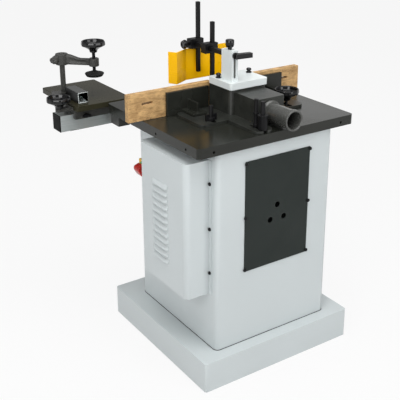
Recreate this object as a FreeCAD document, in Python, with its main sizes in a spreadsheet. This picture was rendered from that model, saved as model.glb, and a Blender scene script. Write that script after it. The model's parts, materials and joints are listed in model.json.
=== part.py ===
import FreeCAD, Part
import Sketcher
import os
import re

# Spindle moulder: sheet-steel cabinet on a plinth, cast table with a fence and hood,
# a belt-driven rising spindle, and a small sliding table on a square rail.
# Frame: +X along the fence, +Y towards the operator, +Z up, origin on the floor below the cabinet.
# All sizes are millimetres.

SIZES = {
    # Shared references and fits
    "table_top": 928,
    "spindle_x": 22,
    "spindle_y": 47,
    "slide_gap": 0.3,
    "run_gap": 0.05,
    "tool_overrun": 1,
    # Plinth of folded sheet with an inward floor flange
    "plinth_width": 680,
    "plinth_depth": 675,
    "plinth_height": 118,
    "plinth_sheet": 4,
    "plinth_corner": 10,
    "plinth_flange": 50,
    "anchor_bore": 14,
    "anchor_inset": 28,
    # Cabinet
    "cabinet_width": 520,
    "cabinet_depth": 532,
    "cabinet_y": -22,
    "cabinet_sheet": 3,
    "cabinet_corner": 18,
    "cabinet_flange": 40,
    "shaft_clearance": 4,
    # Louvred motor cover on the left of the cabinet
    "cover_reach": 99,
    "cover_width": 311,
    "cover_y": -88,
    "cover_drop": 35,
    "cover_height": 515,
    "cover_sheet": 2,
    "cover_corner": 22,
    "cover_lip": 15,
    "cover_lap": 14,
    "louvre_length": 98,
    "louvre_gap": 7.5,
    "louvre_pitch": 26.5,
    "louvre_bottom": 96,
    "louvre_y": -74,
    # Access panel on the rear of the cabinet
    "panel_width": 291,
    "panel_height": 426,
    "panel_x": 6,
    "panel_drop": 55,
    "panel_sheet": 3,
    "panel_lap": 16,
    "panel_side_lap": 9,
    "vent_bore": 22,
    "vent_spread": 36,
    "vent_height": 196,
    # Screws shared by the cover and the panel
    "screw_head": 13,
    "screw_head_height": 7,
    "screw_shank": 6,
    "screw_length": 12,
    "screw_end": 2.5,
    "screw_inset": 8,
    "screw_edge": 1,
    # Cast table
    "table_width": 690,
    "table_depth": 640,
    "table_y": 15,
    "table_thickness": 37,
    "table_corner": 14,
    "throat_bore": 150,
    "ring_outer": 184,
    "ring_bore": 128,
    "ring_thickness": 7,
    "edge_bore": 10,
    "edge_bore_depth": 25,
    "edge_bore_drop": 22,
    "edge_bore_pitch": 196,
    "edge_bore_y": -130,
    "rear_bore_pitch": 566,
    # Vertical slideway below the table
    "slideway_width": 200,
    "slideway_flange": 20,
    "slideway_flange_depth": 70,
    "slideway_wall": 26,
    "slideway_reach": 45,
    "slideway_shelf_top": 434,
    "slideway_shelf": 16,
    "shaft_lug_wall": 12,
    "guide_neck": 50,
    "guide_neck_depth": 12,
    "guide_head": 84,
    "guide_head_depth": 14,
    # Rising carriage with the spindle housing and motor plate
    "housing_diameter": 112,
    "housing_top": 55,
    "housing_length": 250,
    "shoe_width": 150,
    "shoe_top": 90,
    "motor_plate": 16,
    "motor_plate_margin": 10,
    "bearing_outer": 80,
    "bearing_height": 18,
    "bearing_shoulder": 14,
    # Motor and belt drive
    "motor_x": -205,
    "motor_y": -88,
    "motor_diameter": 176,
    "motor_height": 168,
    "motor_shaft": 24,
    "motor_boss": 60,
    "terminal_box": 14,
    "motor_pulley": 140,
    "spindle_pulley": 90,
    "pulley_face": 34,
    "pulley_drop": 12,
    "belt_width": 28,
    "belt_thickness": 5,
    # Rise screw, bevel pair and rise handwheel
    "screw_x": 98,
    "screw_y": 48,
    "rise_screw": 22,
    "rise_journal": 16,
    "rise_lug": 40,
    "bevel_radius": 30,
    "bevel_small": 13,
    "bevel_gap": 0.6,
    "rise_shaft": 20,
    "rise_wheel_radius": 80,
    "rise_wheel_rim": 9,
    "rise_wheel_stand": 34,
    "rise_hub_wall": 8,
    "rise_grip": 11,
    "rise_grip_length": 62,
    # Spindle, cutter block and their clamping parts
    "spindle_journal": 40,
    "spindle_arbor": 30,
    "spindle_collar": 60,
    "collar_lift": 6,
    "collar_height": 12,
    "spacer_diameter": 50,
    "spacer_height": 14,
    "cutter_diameter": 110,
    "cutter_height": 50,
    "cutter_lift": 16,
    "arbor_end": 2,
    "knife_thickness": 8,
    "knife_reach": 3,
    "knife_depth": 22,
    "nut_across": 44,
    "nut_height": 18,
    # Fence casting: hood, wings and rear foot
    "hood_width": 164,
    "hood_rear": -88,
    "hood_height": 103,
    "hood_wall": 8,
    "hood_corner": 17,
    "base_thickness": 10,
    "wing_span": 155,
    "wing_depth": 178,
    "rear_foot_left": 122,
    "rear_foot_width": 78,
    "rear_foot_end": -300,
    "foot_corner": 26,
    "fence_travel": 20,
    "slot_room": 1,
    # Duct behind the hood that holds the dust spout
    "duct_length": 127,
    "duct_drop": 8,
    # Clamp studs that stand in the table
    "stud_diameter": 16,
    "stud_x": 174,
    "stud_y": -95,
    "stud_height": 66,
    "lock_lift": 16,
    "rear_stud_x": -86,
    "rear_stud_y": -245,
    "rear_post_y": -283,
    "rear_post": 34,
    "rear_post_height": 48,
    "rear_stud_height": 112,
    "clamp_nut": 30,
    "clamp_nut_height": 12,
    "clamp_wing": 46,
    "clamp_wing_thickness": 8,
    "collar_rim": 4,
    # Dust spout
    "port_outer": 76,
    "port_bore": 60,
    "port_reach": 262,
    "port_rise": 44,
    "port_rim": 4,
    "port_rim_length": 10,
    # Fence plates and wooden boards
    "board_rear": 62,
    "board_thickness": 25,
    "board_height": 103,
    "board_left_end": -401,
    "board_right_end": 385,
    "cutter_opening": 64,
    "board_lift": 0.5,
    "board_slot": 46,
    "board_slot_width": 8,
    "board_slot_inset": 56,
    "board_slot_rise": 63,
    "plate_thickness": 12,
    "plate_height": 91,
    "plate_length": 184,
    "plate_gap": 2,
    "rib_thickness": 8,
    "tongue_width": 60,
    "tongue_depth": 80,
    "tongue_thickness": 10,
    # Lid on the hood and its knobs
    "lid_overhang": 3,
    "lid_height": 26,
    "lid_sheet": 2.5,
    "lid_flange": 11,
    "lid_corner": 9,
    "lid_knob": 22,
    "lid_knob_height": 18,
    "lid_knob_pitch": 140,
    "lid_knob_y": 7,
    # Slotted column that carries the guard arm
    "column_x": -30,
    "column_width": 28,
    "column_rear": -70,
    "column_depth": 64,
    "column_height": 113,
    "column_sheet": 3,
    "column_slot": 10,
    "lever_bolt": 8,
    "column_slot_foot": 12,
    "block_height": 26,
    "height_screw": 8,
    "column_knob": 32,
    "column_knob_height": 28,
    "column_knob_lift": 9,
    "lever_hub": 24,
    "lever_reach": 58,
    "lever_width": 14,
    "lever_drop": 18,
    # Guard arm above the lid, and its clamp blocks, pressure bars and front guard
    "arm_top": 104,
    "arm_section": 16,
    "arm_end": 226,
    "arm_offset": 6,
    "bar_section": 14,
    "bar_offset": 13,
    "near_bar_y": 93,
    "far_bar_y": 190,
    "near_bar_foot": 120,
    "near_bar_top": 89,
    "far_bar_foot": 123,
    "far_bar_top": 150,
    "clamp_block_width": 58,
    "clamp_block_depth": 32,
    "clamp_block_height": 38,
    "star_knob": 36,
    "star_knob_width": 20,
    "star_knob_lift": 10,
    "guard_sheet": 3,
    "guard_foot": 30,
    "guard_height": 124,
    "guard_left": -67,
    "guard_width": 202,
    "guard_bend_x": 62,
    "guard_bend_y": 33,
    "guard_lip_x": 20,
    "guard_lip_y": 31,
    "guard_pad": 36,
    # Square rail and its brackets, placed from the corner of the table
    "rail_left": 171,
    "rail_length": 846,
    "rail_near": 65,
    "rail_section": 66,
    "rail_top": 41,
    "rail_wall": 3,
    "end_cap": 4,
    "end_cap_plug": 14,
    "bracket_width": 50,
    "bracket_left": 46,
    "bracket_pitch": 480,
    "bracket_upright": 12,
    "bracket_top": 18,
    "bracket_arm": 40,
    # Sliding table, placed from the end of the rail and the edge of the table
    "plate_left": 49,
    "plate_width": 239,
    "plate_near": 17,
    "plate_depth": 334,
    "plate_edge": 22,
    "plate_corner": 8,
    "saddle_inset": 5,
    "saddle_skirt": 18,
    "near_skirt_drop": 19,
    "saddle_lip": 30,
    "saddle_lip_height": 14,
    "wing_screw_x": 49,
    "wing_screw_drop": 7,
    "wing_screw": 10,
    "wing_hub": 16,
    "wing_reach": 16,
    # Fence carrier, square tube and hold-down clamp, placed from the corner of the sliding plate
    "lug_reach": 64,
    "lug_near": 30,
    "lug_depth": 178,
    "lug_thickness": 12,
    "lug_drop": 10,
    "lug_corner": 12,
    "lug_width": 28,
    "upstand": 12,
    "post_x": 26,
    "post_y": 173,
    "post_diameter": 21,
    "post_top": 176,
    "post_block_height": 18,
    "post_block_depth": 44,
    "post_block_right": 25,
    "tube_left": 24,
    "tube_section": 42,
    "tube_near": 34,
    "tube_wall": 3,
    "wheel_x": 50,
    "wheel_y": 53,
    "wheel_radius": 48,
    "wheel_height": 46,
    "wheel_hub": 15,
    "wheel_stud": 12,
    "clamp_x": 124,
    "clamp_y": 88,
    "arm_boss": 25,
    "arm_boss_height": 44,
    "arm_boss_foot": 129,
    "screw_boss": 20,
    "screw_boss_height": 32,
    "screw_boss_foot": 126,
    "arm_web": 18,
    "arm_web_lift": 2,
    "arm_split": 3,
    "ear_lift": 4,
    "clamp_screw": 14,
    "clamp_screw_foot": 107,
    "clamp_wheel_foot": 181,
    "pad_diameter": 76,
    "pad_foot": 86,
    "pad_height": 21,
    # Push-button station
    "switch_y": 189,
    "switch_foot": 656,
    "switch_width": 47,
    "switch_height": 67,
    "switch_depth": 22,
    "switch_corner": 4,
    "switch_margin": 4,
    "paddle_height": 44,
    "paddle_depth": 26,
    "paddle_leaf": 6.5,
    "paddle_button": 40,
    "start_button": 9,
    "start_reach": 4,
    "start_travel": 3,
}

doc = FreeCAD.newDocument("SpindleMoulder")
sheet = doc.addObject("Spreadsheet::Sheet", "Sizes")
for row, (alias, size) in enumerate(SIZES.items(), 1):
    sheet.set(f"A{row}", alias)
    sheet.set(f"B{row}", str(size))
    sheet.setAlias(f"B{row}", alias)
doc.recompute()

NODES = []
LOUVRES = 12
X_AXIS = FreeCAD.Rotation(FreeCAD.Vector(0, 1, 0), 90)
Y_AXIS = FreeCAD.Rotation(FreeCAD.Vector(1, 0, 0), -90)
MINUS_X_AXIS = FreeCAD.Rotation(FreeCAD.Vector(0, 1, 0), -90)
MINUS_Y_AXIS = FreeCAD.Rotation(FreeCAD.Vector(1, 0, 0), 90)
Z_AXIS = FreeCAD.Rotation()


# Helpers that tie every size and place to the sheet

def linked(formula):
    """Put the sheet's name before each size named in a formula."""
    return re.sub(r"[a-z_]+", lambda word: "Sizes." + word[0] if word[0] in SIZES else word[0],
                  str(formula))


def bind(item, prop, formula):
    item.setExpression(prop, linked(formula))


def number(formula):
    return float(sheet.evalExpression(linked(formula)))


def locate(item, place, turn=Z_AXIS):
    item.Placement = FreeCAD.Placement(FreeCAD.Vector(), turn)
    for axis, formula in zip("xyz", place):
        bind(item, f"Placement.Base.{axis}", formula)
    return item


def block(name, x, y, z):
    """A box between low and high formulas on each axis."""
    item = doc.addObject("Part::Box", name)
    for prop, (low, high) in zip(("Length", "Width", "Height"), (x, y, z)):
        bind(item, prop, f"({high}) - ({low})")
    return locate(item, (x[0], y[0], z[0]))


def rod(name, diameter, length, place, turn=Z_AXIS):
    item = doc.addObject("Part::Cylinder", name)
    bind(item, "Radius", f"({diameter}) / 2")
    bind(item, "Height", length)
    return locate(item, place, turn)


def fuse(name, *items):
    joined = doc.addObject("Part::MultiFuse", name)
    joined.Shapes = list(items)
    joined.Refine = True
    return joined


def cut(name, base, *tools):
    result = doc.addObject("Part::Cut", name)
    result.Base = base
    result.Tool = tools[0] if len(tools) == 1 else fuse(name + "_tools", *tools)
    result.Refine = True
    return result


def group(name, *items):
    """Separate solids that share one node."""
    gathered = doc.addObject("Part::Compound", name)
    gathered.Links = list(items)
    return gathered


def outline_sketch(body, plane, offset, outline):
    """A closed outline whose corners are tied to formulas, on an origin plane moved along its normal."""
    sketch = body.newObject("Sketcher::SketchObject", body.Name + "_outline")
    origin_plane = [f for f in body.Origin.OriginFeatures if f.Role == plane][0]
    sketch.AttachmentSupport = [(origin_plane, "")]
    sketch.MapMode = "FlatFace"
    bind(sketch, "AttachmentOffset.Base.z", offset)
    corners = [FreeCAD.Vector(number(u), number(v), 0) for u, v in outline]
    count = len(corners)
    for i in range(count):
        sketch.addGeometry(Part.LineSegment(corners[i], corners[(i + 1) % count]), False)
    for i in range(count):
        sketch.addConstraint(Sketcher.Constraint("Coincident", i, 2, (i + 1) % count, 1))
    for i, (corner, formulas) in enumerate(zip(corners, outline)):
        for kind, place, formula in zip(("DistanceX", "DistanceY"), (corner.x, corner.y), formulas):
            datum = sketch.addConstraint(Sketcher.Constraint(kind, -1, 1, i, 1, place))
            bind(sketch, f"Constraints[{datum}]", formula)
    return sketch


def padded(name, outline, low, high):
    """An outline in X and Y, padded from one height to another."""
    body = doc.addObject("PartDesign::Body", name)
    sketch = outline_sketch(body, "XY_Plane", low, outline)
    pad = body.newObject("PartDesign::Pad", name + "_pad")
    pad.Profile = sketch
    bind(pad, "Length", f"({high}) - ({low})")
    return body


def rounded(name, x, y, z, radius, wanted=lambda x, y: True):
    """A box with rounded upright edges; wanted picks edges by their side of the middle."""
    outline = [(x[0], y[0]), (x[1], y[0]), (x[1], y[1]), (x[0], y[1])]
    body = padded(name, outline, *z)
    doc.recompute()
    pad = body.Tip
    middle = pad.Shape.BoundBox.Center
    picked = []
    for i, edge in enumerate(pad.Shape.Edges, 1):
        start, end = (v.Point for v in edge.Vertexes)
        upright = abs(start.z - end.z) > abs(start.x - end.x) + abs(start.y - end.y)
        if upright and wanted(start.x - middle.x, start.y - middle.y):
            picked.append(f"Edge{i}")
    fillet = body.newObject("PartDesign::Fillet", name + "_corners")
    fillet.Base = (pad, picked)
    bind(fillet, "Radius", radius)
    body.Tip = fillet
    return body


def turned(name, profile, place, turn=Z_AXIS):
    """A profile of radius and height turned about its own axis."""
    body = doc.addObject("PartDesign::Body", name)
    sketch = outline_sketch(body, "XZ_Plane", 0, profile)
    revolution = body.newObject("PartDesign::Revolution", name + "_turn")
    revolution.Profile = sketch
    revolution.ReferenceAxis = (sketch, ["V_Axis"])
    revolution.Angle = 360
    return locate(body, place, turn)


def hexagon(name, across, height, place):
    item = doc.addObject("Part::Prism", name)
    item.Polygon = 6
    bind(item, "Circumradius", f"({across}) / sqrt(3)")
    bind(item, "Height", height)
    return locate(item, place)


def node(label, item):
    item.Label = label
    NODES.append(item)
    return item


# Heights and sides that several pieces share
table_under = "(table_top - table_thickness)"
table_rear = "(table_y - table_depth / 2)"
table_front = "(table_y + table_depth / 2)"
table_left = "(-table_width / 2)"
cabinet_left = "(-cabinet_width / 2)"
cabinet_rear = "(cabinet_y - cabinet_depth / 2)"
cabinet_front = "(cabinet_y + cabinet_depth / 2)"
cover_rear = "(cover_y - cover_width / 2)"
cover_front = "(cover_y + cover_width / 2)"
cover_top = f"({table_under} - cover_drop)"
cover_foot = f"({cover_top} - cover_height)"
panel_left = "(panel_x - panel_width / 2)"
panel_right = "(panel_x + panel_width / 2)"
panel_top = f"({table_under} - panel_drop)"
panel_foot = f"({panel_top} - panel_height)"
housing_head = "(table_top - housing_top)"
shoe_head = "(table_top - shoe_top)"
shelf_top = "(table_top - slideway_shelf_top)"
hood_top = "(table_top + hood_height)"
lid_top = f"({hood_top} + lid_height)"
arm_head = f"({lid_top} + arm_top)"
near_foot = f"({arm_head} - near_bar_foot)"
near_head = f"({arm_head} + near_bar_top)"
far_foot = f"({arm_head} - far_bar_foot)"
far_head = f"({arm_head} + far_bar_top)"
guard_low = f"({far_foot} - guard_foot)"
rail_head = "(table_top - rail_top)"
rail_start = f"({table_left} - rail_left)"
rail_face = f"({table_front} + rail_near)"
bracket_head = "(table_top - bracket_top)"
bracket_start = f"({table_left} + bracket_left)"
slide_left = f"({rail_start} + plate_left)"
slide_near = f"({table_front} + plate_near)"
wing_at = f"({slide_left} + wing_screw_x)"
lug_face = f"({slide_near} + lug_near)"
post_at = f"({slide_left} + post_x)"
post_line = f"({slide_near} + post_y)"
post_head = "(table_top + post_top)"
tube_start = f"({slide_left} + tube_left)"
tube_face = f"({slide_near} + tube_near)"
wheel_at = f"({slide_left} - wheel_x)"
wheel_line = f"({slide_near} + wheel_y)"
clamp_at = f"({slide_left} + clamp_x)"
clamp_line = f"({slide_near} + clamp_y)"
boss_foot = "(table_top + arm_boss_foot)"
nose_foot = "(table_top + screw_boss_foot)"
bar_foot = "(table_top + clamp_screw_foot)"
dish_foot = "(table_top + clamp_wheel_foot)"
pad_low = "(table_top + pad_foot)"


# Plinth

def build_plinth():
    side_x, side_y = "plinth_width / 2", "plinth_depth / 2"
    shell = rounded("plinth_shell", (f"-{side_x}", side_x), (f"-{side_y}", side_y), ("0", "plinth_height"),
                    "plinth_corner")
    room_x, room_y = f"({side_x} - plinth_sheet)", f"({side_y} - plinth_sheet)"
    room = rounded("plinth_room", (f"-{room_x}", room_x), (f"-{room_y}", room_y),
                   ("plinth_sheet", "plinth_height - plinth_sheet"), "plinth_corner - plinth_sheet")
    open_x, open_y = f"({side_x} - plinth_flange)", f"({side_y} - plinth_flange)"
    underside = block("plinth_underside", (f"-{open_x}", open_x), (f"-{open_y}", open_y),
                      ("-plinth_sheet", "2 * plinth_sheet"))
    anchors = []
    for sx in ("-", "+"):
        for sy in ("-", "+"):
            place = (f"{sx}({side_x} - anchor_inset)", f"{sy}({side_y} - anchor_inset)", "-plinth_sheet")
            anchors.append(rod("plinth_anchor", "anchor_bore", "3 * plinth_sheet", place))
    node("plinth", cut("plinth_folded", shell, room, underside, *anchors))


# Cabinet with its openings

def build_cabinet():
    side = "cabinet_width / 2"
    sides_x = (f"-{side}", side)
    sides_y = (cabinet_rear, cabinet_front)
    body = rounded("cabinet_shell", sides_x, sides_y, ("plinth_height", table_under), "cabinet_corner")
    inner_x = (f"-{side} + cabinet_sheet", f"{side} - cabinet_sheet")
    inner_y = (f"{cabinet_rear} + cabinet_sheet", f"{cabinet_front} - cabinet_sheet")
    room = rounded("cabinet_room", inner_x, inner_y,
                   ("plinth_height + cabinet_sheet", f"{table_under} - cabinet_sheet"),
                   "cabinet_corner - cabinet_sheet")
    well_x = (f"-{side} + cabinet_flange", f"{side} - cabinet_flange")
    well_y = (f"{cabinet_rear} + cabinet_flange", f"{cabinet_front} - cabinet_flange / 2")
    well = block("cabinet_well", well_x, well_y,
                 ("plinth_height - cabinet_sheet", f"{table_under} + cabinet_sheet"))
    access = block("cabinet_access", (f"{panel_left} + panel_side_lap", f"{panel_right} - panel_side_lap"),
                   (f"{cabinet_rear} - cabinet_sheet", f"{cabinet_rear} + 2 * cabinet_sheet"),
                   (f"{panel_foot} + panel_lap", f"{panel_top} - panel_lap"))
    motor_window = block("cabinet_motor_window",
                         (f"-{side} - cabinet_sheet", f"-{side} + 2 * cabinet_sheet"),
                         (f"{cover_rear} + cover_lap", f"{cover_front} - cover_lap"),
                         (f"{cover_foot} + cover_lap", f"{cover_top} - cover_lap"))
    shaft_hole = rod("cabinet_shaft_hole", "rise_shaft + shaft_clearance", "3 * cabinet_sheet",
                     (rise_x, f"{cabinet_front} - 2 * cabinet_sheet", shaft_z), Y_AXIS)
    screw_holes = [rod("cabinet_screw_hole", "screw_shank + 2 * run_gap", "3 * screw_length", place, turn)
                   for place, turn in screw_places("screw_length")]
    node("cabinet", cut("cabinet_folded", body, room, well, access, motor_window, shaft_hole, *screw_holes))


def screw_places(depth):
    """Where the screws of the panel and of the cover's two flanges stand, each pointing outwards."""
    places = []
    for x in (f"{panel_left} + screw_edge", f"{panel_right} - screw_edge"):
        for z in (f"{panel_foot} + screw_inset", f"{panel_foot} + panel_height / 2",
                  f"{panel_top} - screw_inset"):
            places.append(((x, f"{cabinet_rear} + {depth}", z), MINUS_Y_AXIS))
    for y in (f"{cover_rear} - cover_lip / 2", f"{cover_front} + cover_lip / 2"):
        for share in (1, 3, 5):
            z = f"{cover_foot} + cover_height * {share} / 6"
            places.append(((f"{cabinet_left} + {depth}", y, z), MINUS_X_AXIS))
    return places


def build_screws():
    """Round-headed screws; the head bears on the panel or the flange, the shank goes through the sheet."""
    screws = []
    stacks = ["panel_sheet"] * 6 + ["cover_sheet"] * 6
    for (place, turn), stack in zip(screw_places("cabinet_sheet + screw_end"), stacks):
        seat = f"(cabinet_sheet + screw_end + {stack})"
        profile = [("0", "0"), ("screw_shank / 2", "0"), ("screw_shank / 2", seat),
                   ("screw_head / 2", seat),
                   ("screw_head / 2", f"{seat} + screw_head_height * 0.6"),
                   ("screw_head / 3", f"{seat} + screw_head_height"), ("0", f"{seat} + screw_head_height")]
        screws.append(turned("panel_screw", profile, place, turn))
    node("panel_screws", group("screw_set", *screws))


# Louvred motor cover

def build_motor_cover():
    outer_x = f"({cabinet_left} - cover_reach)"
    outwards = lambda x, y: x < 0
    shell = rounded("cover_shell", (outer_x, cabinet_left), (cover_rear, cover_front),
                    (f"{cover_foot}", cover_top),
                    "cover_corner", outwards)
    room = rounded("cover_room", (f"{outer_x} + cover_sheet", f"{cabinet_left} + cover_sheet"),
                   (f"{cover_rear} + cover_sheet", f"{cover_front} - cover_sheet"),
                   (f"{cover_foot} + cover_sheet", f"{cover_top} - cover_sheet"),
                   "cover_corner - cover_sheet", outwards)
    flange = block("cover_flange", (f"{cabinet_left} - cover_sheet", cabinet_left),
                   (f"{cover_rear} - cover_lip", f"{cover_front} + cover_lip"),
                   (f"{cover_foot}", cover_top))
    louvres = []
    for i in range(LOUVRES):
        foot = f"({cover_foot} + louvre_bottom + {i} * louvre_pitch)"
        louvres.append(block("cover_louvre", (f"{outer_x} - cover_sheet", f"{outer_x} + 2 * cover_sheet"),
                             ("louvre_y - louvre_length / 2", "louvre_y + louvre_length / 2"),
                             (foot, f"{foot} + louvre_gap")))
    holes = [rod("cover_screw_hole", "screw_shank + 2 * run_gap", "4 * cover_sheet", place, turn)
             for place, turn in screw_places("2 * cover_sheet")[6:]]
    node("motor_cover", cut("cover_pressed", fuse("cover_welded", shell, flange), room, *louvres, *holes))


def build_access_panel():
    sheet_metal = block("panel_plate", (panel_left, panel_right),
                        (f"{cabinet_rear} - panel_sheet", cabinet_rear),
                        (f"{panel_foot}", panel_top))
    holes = []
    for across, up in (("0", "vent_spread"), ("-vent_spread * 0.87", "-vent_spread / 2"),
                       ("vent_spread * 0.87", "-vent_spread / 2")):
        holes.append(rod("panel_vent", "vent_bore", "3 * panel_sheet",
                         (f"panel_x + {across}", f"{cabinet_rear} + panel_sheet",
                          f"{panel_foot} + vent_height + {up}"), MINUS_Y_AXIS))
    holes += [rod("panel_screw_hole", "screw_shank + 2 * run_gap", "3 * panel_sheet", place, turn)
              for place, turn in screw_places("panel_sheet")[:6]]
    node("access_panel", cut("panel_punched", sheet_metal, *holes))


# Cast table, its ring, and the studs that stand in it
left_stud_x = "(spindle_x - stud_x)"
right_stud_x = "(spindle_x + stud_x)"
rear_stud_at = "(spindle_x + rear_stud_x)"
base_top = "(table_top + base_thickness)"


def build_table():
    slab = rounded("table_slab", (table_left, "table_width / 2"), (table_rear, table_front),
                   (table_under, "table_top"), "table_corner")
    axis = ("spindle_x", "spindle_y")
    throat = rod("table_throat", "throat_bore", "3 * table_thickness",
                 (*axis, f"{table_under} - table_thickness"))
    seat = rod("table_ring_seat", "ring_outer + 2 * slide_gap", "2 * ring_thickness",
               (*axis, "table_top - ring_thickness"))
    drop = "table_top - edge_bore_drop"
    bores = []
    for sign in ("-", "+"):
        bores.append(rod("table_left_bore", "edge_bore", "2 * edge_bore_depth",
                         (f"{table_left} - edge_bore_depth", f"edge_bore_y {sign} edge_bore_pitch / 2",
                          drop), X_AXIS))
        bores.append(rod("table_rear_bore", "edge_bore", "2 * edge_bore_depth",
                         (f"{sign}rear_bore_pitch / 2", f"{table_rear} - edge_bore_depth", drop), Y_AXIS))
    stud_bores = [rod("table_stud_bore", "stud_diameter + 2 * run_gap", "3 * table_thickness",
                      (x, y, f"{table_under} - table_thickness"))
                  for x, y in ((left_stud_x, "stud_y"), (right_stud_x, "stud_y"),
                               (rear_stud_at, "rear_stud_y"), (rear_stud_at, "rear_post_y"))]
    node("table", cut("table_machined", slab, throat, seat, *bores, *stud_bores))
    disc = rod("ring_disc", "ring_outer", "ring_thickness", (*axis, "table_top - ring_thickness"))
    bore = rod("ring_hole", "ring_bore", "3 * ring_thickness", (*axis, "table_top - 2 * ring_thickness"))
    node("table_ring", cut("ring_turned", disc, bore))


# Vertical slideway bolted below the table
slide_back = f"({cabinet_front} - slideway_reach)"
slide_face = f"({slide_back} - slideway_wall)"
head_face = f"({slide_face} - guide_neck_depth - guide_head_depth)"
rise_x = "(spindle_x + screw_x)"
rise_y = f"({slide_face} - screw_y)"
shelf_under = f"({shelf_top} - slideway_shelf)"
shaft_z = f"({shelf_under} - bevel_radius - bevel_gap)"
shaft_lug = "(rise_shaft + 2 * shaft_lug_wall)"


def build_slideway():
    half = "slideway_width / 2"
    wall_x = (f"spindle_x - {half}", f"spindle_x + {half}")
    flange = block("slideway_top", wall_x, (head_face, f"{head_face} + slideway_flange_depth"),
                   (f"{table_under} - slideway_flange", table_under))
    wall = block("slideway_wall_plate", wall_x, (slide_face, slide_back), (shelf_under, table_under))
    neck = block("slideway_neck", ("spindle_x - guide_neck / 2", "spindle_x + guide_neck / 2"),
                 (f"{slide_face} - guide_neck_depth", slide_face), (shelf_under, table_under))
    head = block("slideway_head", ("spindle_x - guide_head / 2", "spindle_x + guide_head / 2"),
                 (head_face, f"{slide_face} - guide_neck_depth"), (shelf_under, table_under))
    shelf = block("slideway_shelf_plate", (f"{rise_x} - rise_lug / 2", f"{rise_x} + rise_lug / 2"),
                  (f"{rise_y} - rise_lug / 2", slide_back), (shelf_under, f"{shelf_top}"))
    lug = block("slideway_shaft_lug", (f"{rise_x} - {shaft_lug} / 2", f"{rise_x} + {shaft_lug} / 2"),
                (slide_face, slide_back), (f"{shaft_z} - {shaft_lug} / 2", f"{shelf_top}"))
    journal = rod("slideway_screw_hole", "rise_journal + 2 * run_gap", "3 * slideway_shelf",
                  (rise_x, rise_y, f"{shelf_under} - slideway_shelf"))
    shaft = rod("slideway_shaft_hole", "rise_shaft + 2 * run_gap", "3 * slideway_wall",
                (rise_x, f"{slide_face} - slideway_wall", shaft_z), Y_AXIS)
    node("slideway",
         cut("slideway_cast", fuse("slideway_ribs", flange, wall, neck, head, shelf, lug), journal, shaft))


# Rising carriage: spindle housing, shoe on the guide, motor plate
housing_foot = f"({housing_head} - housing_length)"
plate_top = f"({housing_foot} + motor_plate)"


def build_carriage():
    axis = ("spindle_x", "spindle_y")
    housing = rod("carriage_housing", "housing_diameter", "housing_length", (*axis, housing_foot))
    shoe = block("carriage_shoe", ("spindle_x - shoe_width / 2", "spindle_x + shoe_width / 2"),
                 ("spindle_y", f"{slide_face} - slide_gap"), (housing_foot, f"{shoe_head}"))
    lug = block("carriage_nut_lug", ("spindle_x", f"{rise_x} + rise_lug / 2"),
                (f"{rise_y} - rise_lug / 2", f"{rise_y} + rise_lug / 2"),
                (plate_top, f"{plate_top} + rise_lug"))
    margin = "(motor_diameter / 2 + motor_plate_margin)"
    edge = "(housing_diameter / 2 + motor_plate_margin)"
    outline = [(f"motor_x - {margin}", f"motor_y - {margin}"),
               (f"motor_x + {margin}", f"motor_y - {margin}"),
               (f"spindle_x + {edge}", f"spindle_y - {edge}"), (f"spindle_x + {edge}", "spindle_y"),
               (f"spindle_x - {edge}", f"spindle_y + {edge}"),
               (f"motor_x - {margin}", f"motor_y + {margin}")]
    motor_plate = padded("carriage_plate", outline, housing_foot, plate_top)
    bore = rod("carriage_bore", "bearing_outer - bearing_shoulder", "2 * housing_length",
               (*axis, f"{housing_foot} - housing_length / 2"))
    seats = [rod("carriage_bearing_seat", "bearing_outer", "bearing_height + tool_overrun", (*axis, foot))
             for foot in (f"{housing_head} - bearing_height", f"{housing_foot} - tool_overrun")]
    motor_hole = rod("carriage_motor_hole", "motor_boss + 2 * slide_gap", "3 * motor_plate",
                     ("motor_x", "motor_y", f"{housing_foot} - motor_plate"))
    neck = block("carriage_neck_groove",
                 ("spindle_x - guide_neck / 2 - slide_gap", "spindle_x + guide_neck / 2 + slide_gap"),
                 (f"{slide_face} - guide_neck_depth - guide_head_depth", slide_back),
                 (shelf_under, "table_top"))
    head = block("carriage_head_groove",
                 ("spindle_x - guide_head / 2 - slide_gap", "spindle_x + guide_head / 2 + slide_gap"),
                 (f"{head_face} - slide_gap", f"{slide_face} - guide_neck_depth + slide_gap"),
                 (shelf_under, "table_top"))
    nut_hole = rod("carriage_nut_hole", "rise_screw + 2 * run_gap", "3 * rise_lug",
                   (rise_x, rise_y, f"{plate_top} - rise_lug"))
    casting = fuse("carriage_casting", housing, shoe, lug, motor_plate)
    node("rise_carriage", cut("carriage_machined", casting, bore, *seats, motor_hole, neck, head, nut_hole))
    rings = []
    for foot in (f"{housing_head} - bearing_height", housing_foot):
        race = rod("bearing_race", "bearing_outer - 2 * run_gap", "bearing_height", (*axis, foot))
        hole = rod("bearing_hole", "spindle_journal + 2 * run_gap", "3 * bearing_height",
                   (*axis, f"{foot} - bearing_height"))
        rings.append(cut("bearing", race, hole))
    node("spindle_bearings", group("bearing_pair", *rings))


# Motor, pulleys and belt
pulley_top = f"({housing_foot} - pulley_drop)"
pulley_foot = f"({pulley_top} - pulley_face)"
belt_foot = f"({pulley_foot} + (pulley_face - belt_width) / 2)"


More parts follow.
